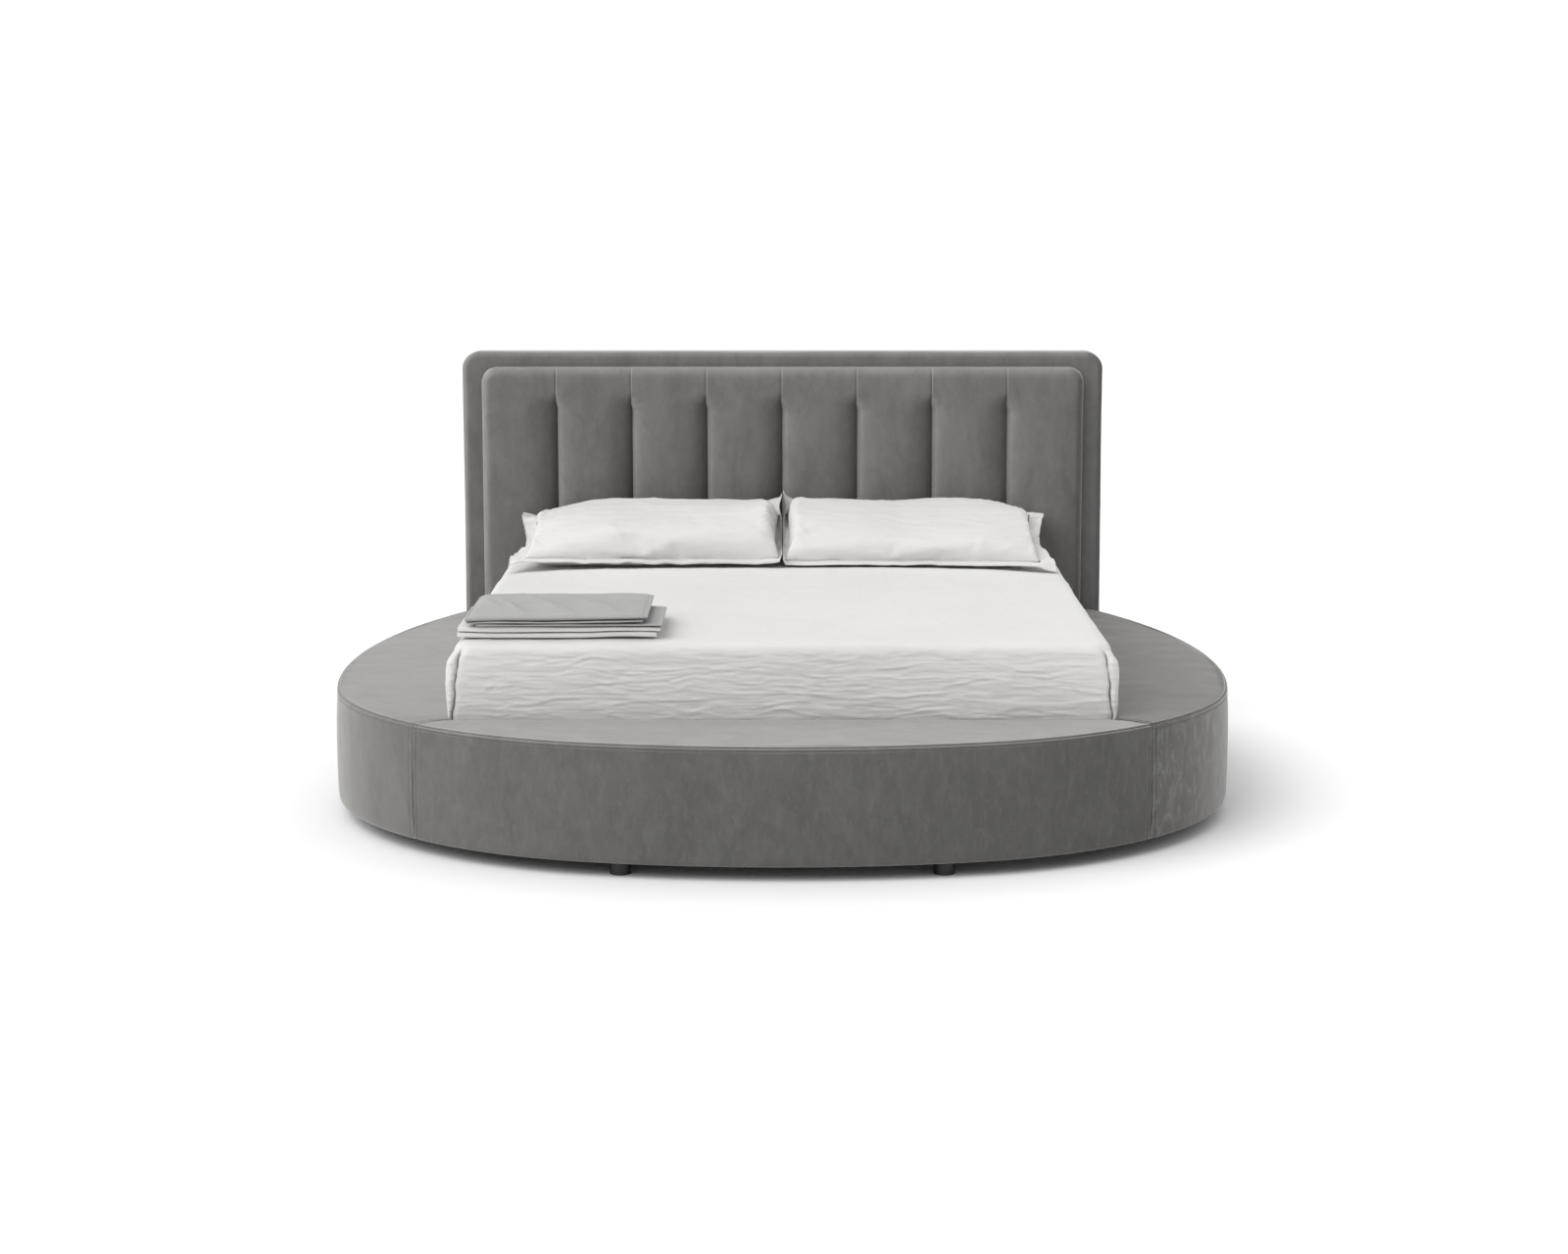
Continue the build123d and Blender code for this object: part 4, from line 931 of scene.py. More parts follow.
# Longer creases in the foot face: middle across and up, half length, slope, depth.
CREASES = (
    (-0.57, 0.533, 0.060, 0.20, 0.0036), (-0.61, 0.505, 0.050, 0.10, -0.0028),
    (-0.42, 0.498, 0.080, -0.12, 0.0026), (-0.50, 0.470, 0.090, -0.05, 0.0028),
    (-0.30, 0.482, 0.060, 0.15, -0.0024), (-0.84, 0.440, 0.045, 0.75, 0.0040),
    (-0.10, 0.515, 0.080, 0.05, 0.0020), (0.12, 0.490, 0.070, -0.10, 0.0024),
    (0.35, 0.520, 0.090, 0.08, 0.0022), (0.52, 0.475, 0.080, 0.12, 0.0028),
    (0.70, 0.505, 0.060, -0.18, 0.0030), (0.84, 0.445, 0.045, -0.70, 0.0038),
    (-0.22, 0.425, 0.110, 0.03, 0.0022), (0.24, 0.430, 0.100, -0.04, 0.0024),
    (-0.66, 0.420, 0.080, 0.10, 0.0024),
)

# Section of the right folded corner at mid height, from the foot face into the slit and round the
# roll to the side: places across, and how far behind the foot face. The corner of the bed comes at
# the place that PLEAT_TURN counts to.
PLEAT = ((0.868, 0.0), (0.880, -0.0005), (0.889, -0.0002), (0.894, 0.003), (0.896, 0.010),
         (0.8966, 0.022), (0.8982, 0.030), (0.8996, 0.020), (0.9004, 0.009), (0.9035, 0.0015),
         (0.909, -0.0022), (0.9165, -0.003), (0.925, -0.0015), (0.9335, 0.003), (0.9395, 0.011),
         (0.943, 0.022), (0.944, 0.036), (0.941, 0.055), (0.935, 0.078), (0.929, 0.105),
         (0.924, 0.135), (BED_HALF, 0.17))
PLEAT_TURN = 13
SLIT_X = 0.8985

# The part of the foot face, from the middle out, that leans with the fold: its start, the slit's
# inner side and the roll's outer side.
LEAN_X = (0.845, 0.896, 0.9445)


def pleat_section(count):
    """Points along the folded corner: count of them to its turn, and count from there."""
    path = np.array(PLEAT) + np.array([0.0, BED_FOOT])
    reach = distances(path)
    ends = (0, reach[PLEAT_TURN], reach[-1])
    return [read_at(np.linspace(first, last, count), reach, path) for first, last in zip(ends[:-1], ends[1:])]


def head_rise(p):
    """How far the bedding swells up in front of and under the pillows."""
    across = np.clip(1 - (np.abs(p[..., 0]) / 0.90) ** 4, 0, 1)
    return (0.018 * smooth(p[..., 1], 0.26, 0.58) + 0.007 * hump(p[..., 1], 0.505, 0.045)) * across


def lean(plan, height):
    """How far the corner fold moves out: its slit leans outwards from the top of the cover down."""
    across = np.abs(plan[:, 0])
    shift = 0.009 + 0.019 * (1 - height) + 0.0018 * np.sin(13 * height + 1) + 0.0008 * np.sin(29 * height)
    start, slit, roll = LEAN_X
    inner = smooth(across, start, slit)
    outer = np.clip((roll - across) / (roll - slit), 0, 1)
    near_foot = smooth(plan[:, 1], BED_FOOT + 0.12, BED_FOOT + 0.03)
    return np.sign(plan[:, 0]) * shift * np.minimum(inner, outer) * near_foot


def cover_rings(gx, gy, border):
    """Rings of points from the edge of the cover's top down to its hem, with the corners folded."""
    inset = COVER_ROUND
    ring = np.stack([gx, gy], -1).reshape(-1, 2)[border]
    start = BED_FOOT + inset
    wide = ring[:, 0] / (BED_HALF - inset) * BED_HALF
    deep = BED_FOOT + (ring[:, 1] - start) * (MATTRESS_BACK - BED_FOOT) / (MATTRESS_BACK - start)
    plain = np.stack(corner_rounded(wide, deep, BED_HALF, BED_FOOT, COVER_CORNER)[:2], -1)
    top = corner_rounded(ring[:, 0], ring[:, 1], BED_HALF - inset, start, COVER_CORNER - inset)[:2]
    inwards = np.stack(top, -1) - plain
    rows, columns = gx.shape
    n = len(CORNER_FINE)
    foot_points, side_points = pleat_section(n)
    left, right = rows - 1, rows + columns - 2
    mirror = np.array([-1.0, 1.0])
    folded = plain.copy()
    folded[right - n + 1:right + 1] = foot_points
    folded[right:right + n] = side_points
    folded[left:left + n] = (foot_points * mirror)[::-1]
    folded[left - n + 1:left + 1] = (side_points * mirror)[::-1]
    levels = [(1 - math.sin(a), BED_TOP - inset + inset * math.cos(a)) for a in quarter(10)]
    levels += [(0.0, z) for z in np.linspace(BED_TOP - inset, COVER_HEM, 64)[1:]]
    for share, z in levels:
        fold = float(smooth(z, BED_TOP - 0.012, BED_TOP - 0.062))
        height = float(np.clip((z - BASE_TOP - 0.002) / (BED_TOP - 0.030 - BASE_TOP - 0.002), 0, 1))
        fullness = fold * (0.45 + 0.55 * math.sin(math.pi * height ** 0.9) ** 0.7)
        flat = plain + (folded - plain) * fold
        across = np.abs(flat[:, 0])
        roll = np.sign(flat[:, 0]) * (BED_HALF + (across - BED_HALF) * fullness)
        flat[:, 0] = np.where(across > BED_HALF - 0.001, roll, flat[:, 0])
        flat[:, 0] += lean(flat, height) * fold
        flat[:, 1] += 0.011 * (1 - height) ** 1.5 * smooth(flat[:, 1], BED_FOOT + 0.03, BED_FOOT)
        flat = flat + inwards * share
        yield points_of(flat[:, 0], flat[:, 1], z)


def cover_push(p, normals):
    """How far the cover's cloth stands out or in: soft unevenness, creases and the swell at the head."""
    flat = smooth(normals[:, 2], 0.5, 0.95)
    foot_face = smooth(-normals[:, 1], 0.5, 0.9)
    side_face = smooth(np.abs(normals[:, 0]), 0.5, 0.9)
    push = flat * (0.0018 * noise(p, 3.2, 31) + 0.0010 * noise(p, 9.0, 32) - 0.0032)
    push += flat * 0.0011 * (ridges(p + 0.03 * noise(p, 6.0, 33)[:, None], (14.0, 8.0, 1.0), 34) - 0.3)
    push += flat * (0.0006 * noise(p, 34.0, 35) + head_rise(p))
    warp = p + np.array([0.05, 0, 0.004]) * noise(p, 7.0, 36)[:, None]
    wave = ridges(warp, (5.5, 1.0, 44.0), 37, 1.4) - 0.35
    fine_wave = ridges(warp + 0.01 * noise(p, 15.0, 43)[:, None], (14.0, 1.0, 115.0), 38, 1.2) - 0.35
    crossing = ridges(warp + np.array([0, 0, 0.16]) * p[:, :1], (6.0, 1.0, 52.0), 44, 2.0) - 0.25
    push += foot_face * (0.0014 * wave + 0.0021 * fine_wave + 0.0014 * crossing
                         + 0.0022 * noise(p, (3.0, 1.0, 6.0), 39))
    for x, z, half, slope, depth in CREASES:
        along = (p[:, 0] - x) / half
        off = p[:, 2] - z - slope * (p[:, 0] - x) - 0.004 * np.sin(3 * along)
        shape = 0.55 * hump(off, 0, 0.0038) - 0.35 * hump(off, -0.007, 0.0045)
        push += foot_face * depth * hump(along, 0, 1) * shape
    warp = p + np.array([0, 0.05, 0.006]) * noise(p, 6.0, 40)[:, None]
    wave = ridges(warp, (1.0, 5.0, 24.0), 41, 1.3) - 0.35
    push += side_face * (0.0022 * wave + 0.0015 * noise(p, 8.0, 42))
    push *= 0.25 + 0.75 * smooth(p[:, 2], COVER_HEM, COVER_HEM + 0.022)
    slit = np.abs(np.abs(p[:, 0]) - SLIT_X) < 0.0075
    slit &= (p[:, 1] < BED_FOOT + 0.04) & (p[:, 2] < BED_TOP - 0.03)
    return np.where(slit, 0.0, push)


def bed_cover_mesh():
    """Linen cover: a soft top, a foot face and sides tucked into the well, and folded foot corners."""
    half, start = BED_HALF - COVER_ROUND, BED_FOOT + COVER_ROUND
    u = spaced(2 * half, 0.0085, CORNER_FINE) - half
    v = spaced(MATTRESS_BACK - start, 0.0105, CORNER_FINE, "start") + start
    gx, gy = np.meshgrid(u, v)
    x, y, _ = corner_rounded(gx, gy, half, start, COVER_CORNER - COVER_ROUND)
    points = list(points_of(x, y, BED_TOP).reshape(-1, 3))
    faces = grid_faces(*gx.shape).tolist()
    border = previous = grid_border(*gx.shape)
    for ring in cover_rings(gx, gy, border):
        previous = join_row(points, faces, previous, ring)
    obj = new_object("bed_cover_linen", points, faces)
    points, (_, normals) = np.array(points), mesh_arrays(obj)
    if normals[len(u) * 10 + 20, 2] < 0:
        normals = -normals
    move_to(obj, points + normals * cover_push(points, normals)[:, None])
    return obj


cover = finished(bed_cover_mesh(), "white_linen", "mattress")
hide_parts("bed_cover")
thicken(cover, 0.0010)


# Pillows

CASE = (0.860, 0.560)
CASE_FLANGE = 0.052
CASE_STEP = 0.0124
PILLOW_THICKNESS = 0.165
PILLOW_SIZE = (0.800, 0.500)
PILLOW_VOLUME = 0.0300
PILLOW_TILT = math.radians(11.5)
PILLOW_PLACE = (0.452, 0.8335, 0.6643)

# How much of the simulated form's unevenness is smoothed away, how deep its underside hangs, and the
# flat that it rests on: its depth, and where and how steeply it rises towards the front.
EVENED = 0.55
UNDER_DEPTH = 0.078
REST_DEPTH = 0.0667
REST_FRONT = -0.0546
REST_SLOPE = 0.211

# How far the inner end is moved to the bed's middle, over what width the two pillows press flat
# where they meet, and over what height the case settles onto the bed.
INNER_SHIFT = 0.043
MEETING = 0.016
SETTLING = 0.012

# How far the case's rear flap is pushed up and forward where the two pillows meet, and hangs down
# elsewhere.
FLAP_UP = 0.060
FLAP_FORWARD = 0.022
FLAP_DOWN = 0.014

# How many frames the cloth simulation that blows the case up runs, and its settings.
CASE_FRAMES = 36
CASE_CLOTH = {
    "quality": 7, "mass": 0.25, "tension_stiffness": 45, "compression_stiffness": 45,
    "shear_stiffness": 18, "bending_stiffness": 0.6, "air_damping": 6,
    "tension_damping": 12, "compression_damping": 12, "use_pressure": True,
    "uniform_pressure_force": 1.2, "use_pressure_volume": True,
    "target_volume": PILLOW_VOLUME, "vertex_group_pressure": "blown",
}

# Height of each pillow's crown along it, left pillow (-1) and right pillow (1), and how far the
# front edge of each is held up by the filling.
CROWN = {
    -1: ((-0.40, 0.022), (-0.375, 0.040), (-0.34, 0.056), (-0.30, 0.070), (-0.234, 0.082),
         (-0.135, 0.090), (0.0, 0.094), (0.15, 0.099), (0.26, 0.106), (0.33, 0.118), (0.37, 0.122),
         (0.40, 0.100)),
    1: ((-0.40, 0.100), (-0.37, 0.116), (-0.33, 0.112), (-0.25, 0.098), (-0.15, 0.085),
        (-0.07, 0.077), (0.046, 0.079), (0.20, 0.083), (0.29, 0.080), (0.36, 0.068), (0.40, 0.040)),
}
FRONT_LIFT = {-1: 0.015, 1: 0.006}


def case_grid():
    """Flat pillowcase: node numbers of its upper and lower cloth, and flat places.

    The lower cloth is joined to the upper one along the seam, and the flange is one cloth so far.
    """
    counts = [int(round(size / CASE_STEP)) for size in CASE]
    flange = max(int(round(CASE_FLANGE / CASE_STEP)), 2)
    axes = []
    for size, count in zip(CASE, counts):
        inner = np.linspace(-size / 2, size / 2, count + 1)
        outer = np.linspace(0, CASE_FLANGE, flange + 1)[1:]
        axes.append(np.concatenate([-size / 2 - outer[::-1], inner, size / 2 + outer]))
    gx, gy = np.meshgrid(*axes)
    upper = np.arange(gx.size).reshape(gx.shape)
    rows, columns = gx.shape
    inside = np.zeros(gx.shape, bool)
    inside[flange + 1:rows - flange - 1, flange + 1:columns - flange - 1] = True
    body = np.zeros(gx.shape, bool)
    body[flange:rows - flange, flange:columns - flange] = True
    lower = upper.copy()
    lower[inside] = gx.size + np.arange(inside.sum())
    places = np.stack([gx, gy], -1)
    return places, upper, lower, inside, body, flange


def quads(numbers, keep, flip=False):
    """Faces of a grid of node numbers, where all four corners are kept."""
    a, b, c, d = numbers[:-1, :-1], numbers[:-1, 1:], numbers[1:, 1:], numbers[1:, :-1]
    whole = keep[:-1, :-1] & keep[:-1, 1:] & keep[1:, 1:] & keep[1:, :-1]
    faces = np.stack([a, b, c, d], -1)[whole]
    return faces[:, ::-1] if flip else faces


def filled_case(seed):
    places, upper, lower, inside, body, _ = case_grid()
    x, y = places[..., 0], places[..., 1]
    share_x = np.clip(1 - (2 * np.abs(x) / CASE[0]) ** 2, 0, 1)
    share_y = np.clip(1 - (2 * np.abs(y) / CASE[1]) ** 2, 0, 1)
    swell = (share_x * share_y) ** 0.45 * PILLOW_THICKNESS / 2
    start = swell * 0.35
    ripple = 0.0015 * noise(points_of(x, y), 22.0, seed)
    top = points_of(x, y, ripple + start).reshape(-1, 3)
    low = points_of(x, y, ripple - start)[inside]
    points = np.concatenate([top, low])
    faces = np.concatenate([quads(upper, np.ones_like(body)), quads(lower, body, flip=True)])
    case = new_object("case_trial", points, faces)
    blown = case.vertex_groups.new(name="blown")
    blown.add([int(k) for k in np.unique(np.concatenate([upper[body], lower[body]]))], 1.0, "REPLACE")
    cloth = case.modifiers.new("Cloth", "CLOTH")
    for key, value in CASE_CLOTH.items():
        setattr(cloth.settings, key, value)
    cloth.settings.effector_weights.gravity = 0
    cloth.point_cache.frame_start = 1
    cloth.point_cache.frame_end = CASE_FRAMES + 4
    scene = bpy.context.scene
    for step in range(1, CASE_FRAMES + 1):
        scene.frame_set(step)
    cut = case.evaluated_get(bpy.context.evaluated_depsgraph_get()).to_mesh()
    found = np.zeros(len(points) * 3)
    cut.vertices.foreach_get("co", found)
    found = found.reshape(-1, 3)
    bpy.data.objects.remove(case)
    scene.frame_set(1)
    return found


def refined(obj):
    """Subdivide a mesh once, smoothly, and keep the result."""
    modifier = obj.modifiers.new("Smooth", "SUBSURF")
    modifier.levels = modifier.render_levels = 1
    mesh = bpy.data.meshes.new_from_object(obj.evaluated_get(bpy.context.evaluated_depsgraph_get()))
    obj.modifiers.clear()
    old = obj.data
    obj.data = mesh
    bpy.data.meshes.remove(old)
    mesh.polygons.foreach_set("use_smooth", [True] * len(mesh.polygons))
    return obj


def blurred(grid, times):
    """A grid of numbers smoothed with its neighbours, its border kept."""
    grid = grid.copy()
    for _ in range(times):
        inner = (grid[:-2, 1:-1] + grid[2:, 1:-1] + grid[1:-1, :-2] + grid[1:-1, 2:]) / 4
        grid[1:-1, 1:-1] = 0.5 * grid[1:-1, 1:-1] + 0.5 * inner
    return grid


def squared(part, u, v):
    """Ease the simulated body towards a pillow's plan, whose sides pull in between its corners."""
    x, y = part[..., 0], part[..., 1]
    front, back = y[:1], y[-1:]
    half = PILLOW_SIZE[1] / 2 - 0.009 * (1 - u**2)
    deep = (y - front) / (back - front) * 2 - 1
    left, right = x[:, :1], x[:, -1:]
    wide = (x - left) / (right - left) * 2 - 1
    breadth = PILLOW_SIZE[0] / 2 - 0.020 * (1 - v**2)
    return np.stack([wide * breadth, deep * half, part[..., 2]], -1)


def smooth_least(first, second, blend):
    """The lesser of two numbers, with a rounded change from one to the other."""
    share = np.clip(0.5 + 0.5 * (second - first) / blend, 0, 1)
    return second + (first - second) * share - blend * share * (1 - share)


def case_points(side, seed):
    """Grids of places of a filled case's upper and lower cloth, in the pillow's own frame."""
    places, upper, lower, _, body, flange = case_grid()
    found = filled_case(seed)
    rows, columns = upper.shape
    whole_top, whole_low = found[upper], found[lower]
    box = (slice(flange, rows - flange), slice(flange, columns - flange))
    u = 2 * places[flange, flange:columns - flange, 0][None, :] / CASE[0]
    v = 2 * places[flange:rows - flange, flange, 1][:, None] / CASE[1]
    top, low = squared(whole_top[box], u, v), squared(whole_low[box], u, v)
    for part in (top, low):
        part[..., 2] = (1 - EVENED) * part[..., 2] + EVENED * blurred(part[..., 2], 24)
    crown = top[..., 2].max(axis=0)
    middle = top[len(top) // 2, :, 0]
    aim_x, aim_z = np.array(CROWN[side]).T
    wanted = np.interp(middle, aim_x, aim_z)
    share = np.clip(wanted / np.maximum(crown, 0.02), 0.3, 3.0)
    for _ in range(4):
        share[1:-1] = (share[:-2] + 2 * share[1:-1] + share[2:]) / 4
    top[..., 2] *= share[None, :]
    low[..., 2] *= UNDER_DEPTH / max(-low[..., 2].min(), 0.02)
    rest = REST_DEPTH + REST_SLOPE * np.minimum(low[..., 1] - REST_FRONT, 0)
    low[..., 2] = -smooth_least(-low[..., 2], rest, 0.008)
    i = np.clip(np.arange(rows) - flange, 0, rows - 2 * flange - 1)
    j = np.clip(np.arange(columns) - flange, 0, columns - 2 * flange - 1)
    anchor = top[np.ix_(i, j)]
    loose = whole_top[..., 2] - whole_top[box][np.ix_(i, j)][..., 2]
    out_x = np.sign(places[..., 0]) * np.clip(np.abs(places[..., 0]) - CASE[0] / 2, 0, 1)
    out_y = np.sign(places[..., 1]) * np.clip(np.abs(places[..., 1]) - CASE[1] / 2, 0, 1)
    keep = np.where(np.abs(out_x) > 0, 0.75, np.where(out_y < 0, 0.25, 0.6))
    grid = anchor + np.stack([out_x, out_y, keep * loose], -1) * (~body)[..., None]
    grid[box] = top
    under = grid.copy()
    under[box] = low
    return grid, under, out_x / CASE_FLANGE, out_y / CASE_FLANGE


def pillow(name, side, seed):
    """A filled pillow in a case with a doubled flange, leaning back towards the headboard."""
    places, upper, lower, inside, body, _ = case_grid()
    grid, under, out_x, out_y = case_points(side, seed)
    rows, columns = upper.shape
    outside = ~body
    hang = np.maximum(np.abs(out_x), np.abs(out_y))
    flat = points_of(places[..., 0], places[..., 1])
    wave = noise(flat, 17.0, seed + 1) + 0.5 * noise(flat, 34.0, seed + 6)
    ruffle = np.where(np.abs(out_x) > np.abs(out_y), 0.011, np.where(out_y < 0, 0.0035, 0.008))
    grid[..., 2] += outside * hang * ruffle * wave
    grid[..., 1] += outside * np.abs(out_x) * 0.006 * noise(flat, 21.0, seed + 7)
    gap = 0.0020 * np.minimum(hang * 3, 1) + 0.0014 * hang
    points = [*grid.reshape(-1, 3), *under[inside]]
    below = lower.copy()
    below[outside] = len(points) + np.arange(outside.sum())
    points.extend(grid[outside] - np.array([0, 0, 1.0]) * gap[outside][:, None])
    edge = [(0, j) for j in range(columns)] + [(i, columns - 1) for i in range(1, rows)]
    edge += [(rows - 1, j) for j in range(columns - 2, -1, -1)] + [(i, 0) for i in range(rows - 2, 0, -1)]
    ring = [(upper[i, j], below[i, j]) for i, j in edge]
    rim = [(b, a, c, d) for (a, b), (c, d) in zip(ring, ring[1:] + ring[:1])]
    everywhere = np.ones_like(body)
    faces = np.concatenate([quads(upper, everywhere), quads(below, everywhere, flip=True), rim])
    obj = refined(new_object(f"{name}_case", points, faces))
    p, normal = mesh_arrays(obj)
    half_x, half_y = PILLOW_SIZE[0] / 2, PILLOW_SIZE[1] / 2
    push = 0.0040 * noise(p, (6.0, 9.0, 9.0), seed + 2)
    warp = p + 0.02 * noise(p, 8.0, seed + 3)[:, None]
    push += 0.0034 * (ridges(warp, (5.0, 24.0, 24.0), seed + 4, 1.5) - 0.3)
    push += 0.0016 * (ridges(warp, (12.0, 56.0, 56.0), seed + 5, 1.2) - 0.3)
    from_end = np.minimum(np.abs(half_x - np.abs(p[:, 0])), 0.2)
    turned = np.arctan2(np.abs(p[:, 1]), from_end + 0.05)
    gathers = noise(np.stack([turned * 3, np.sign(p[:, 0]), np.sign(p[:, 1])], -1), 5.0, seed + 8)
    push += 0.0036 * gathers * hump(from_end, 0.03, 0.05)
    filling = smooth(half_x - np.abs(p[:, 0]), -0.01, 0.04) * smooth(half_y - np.abs(p[:, 1]), -0.01, 0.04)
    p = p + normal * (push * (0.25 + 0.75 * filling))[:, None]
    front = np.clip((-p[:, 1] - 0.08) / 0.17, 0, 1.3)
    rear_flap = np.clip((p[:, 1] - half_y) / CASE_FLANGE, 0, 1)
    side_flap = np.clip((np.abs(p[:, 0]) - half_x) / CASE_FLANGE, 0, 1)
    inner_end = smooth(-side * p[:, 0], 0.26, 0.43)
    p[:, 2] += FRONT_LIFT[side] * front
    outer_end = smooth(side * p[:, 0], 0.34, 0.42)
    p[:, 0] -= side * outer_end * (0.012 + 0.016 * hump(p[:, 1], -0.03, 0.14))
    p[:, 0] -= side * INNER_SHIFT * smooth(-side * p[:, 0], 0.12, 0.40)
    p[:, 2] += FLAP_UP * np.maximum(rear_flap, side_flap * smooth(p[:, 1], -0.05, 0.22)) * inner_end
    p[:, 1] -= FLAP_FORWARD * rear_flap * inner_end
    p[:, 2] -= FLAP_DOWN * rear_flap * (1 - inner_end)
    c, s = math.cos(PILLOW_TILT), math.sin(PILLOW_TILT)
    world = np.stack([p[:, 0] + side * PILLOW_PLACE[0],
                      PILLOW_PLACE[1] + p[:, 1] * c - p[:, 2] * s,
                      PILLOW_PLACE[2] + p[:, 1] * s + p[:, 2] * c], -1)
    bed = BED_TOP + LAY_GAP + head_rise(world)
    depth = bed + SETTLING - world[:, 2]
    settled = bed + SETTLING * np.exp(-np.clip(depth, 0, 1) / SETTLING)
    world[:, 2] = np.where(depth > 0, settled, world[:, 2])
    past = MEETING - side * world[:, 0]
    apart = 0.0004 + 0.0105 * hump(world[:, 2], 0.738, 0.024)
    pressed = apart + (MEETING - apart) * np.exp(-np.clip(past, 0, 1) / MEETING)
    world[:, 0] = np.where(past > 0, side * pressed, world[:, 0])
    world[:, 2] += 0.55 * np.clip(past - 0.006, 0, 0.03) * (past > 0)
    world[:, 1] = np.minimum(world[:, 1], HEAD_Y - PANEL_DEPTH - 0.0015)
    move_to(obj, world)
    return obj


for name, side, seed in (("pillow_left", -1, 51), ("pillow_right", 1, 61)):
    case = finished(pillow(name, side, seed), "white_linen", name)
    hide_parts(name)


# Folded linen

# Distance over which a rolled ply's front rounds up, and the direction of its rumples.
NOSE = 0.034
FOLD_RUN = (0.64, -0.77)
PLY_GAP = 0.0022
PLY_STEP = 0.0095

# Loose folds across the top of the folded cover: middle, half length and height.
LOOSE_FOLDS = (
    (-0.835, -0.60, 0.10, 0.011), (-0.770, -0.66, 0.15, 0.015), (-0.700, -0.58, 0.20, 0.017),
    (-0.630, -0.68, 0.13, 0.012), (-0.590, -0.52, 0.13, 0.011), (-0.500, -0.66, 0.13, 0.010),
    (-0.440, -0.56, 0.10, 0.006),
)


def loose_folds(x, y):
    """Height of the loose folds, which rise gently from the left and fall steeply on the right."""
    bowed = x + 0.016 * noise(points_of(x, y), 5.0, 97)
    total = np.zeros_like(x)
    for middle_x, middle_y, half, height in LOOSE_FOLDS:
        across = (bowed - middle_x) * 0.93 + (y - middle_y) * 0.37
        along = (bowed - middle_x) * 0.37 - (y - middle_y) * 0.93
        profile = np.exp(np.where(across < 0, across / 0.030, -across / 0.008))
        total += height * hump(along, 0, half) * profile
    return total


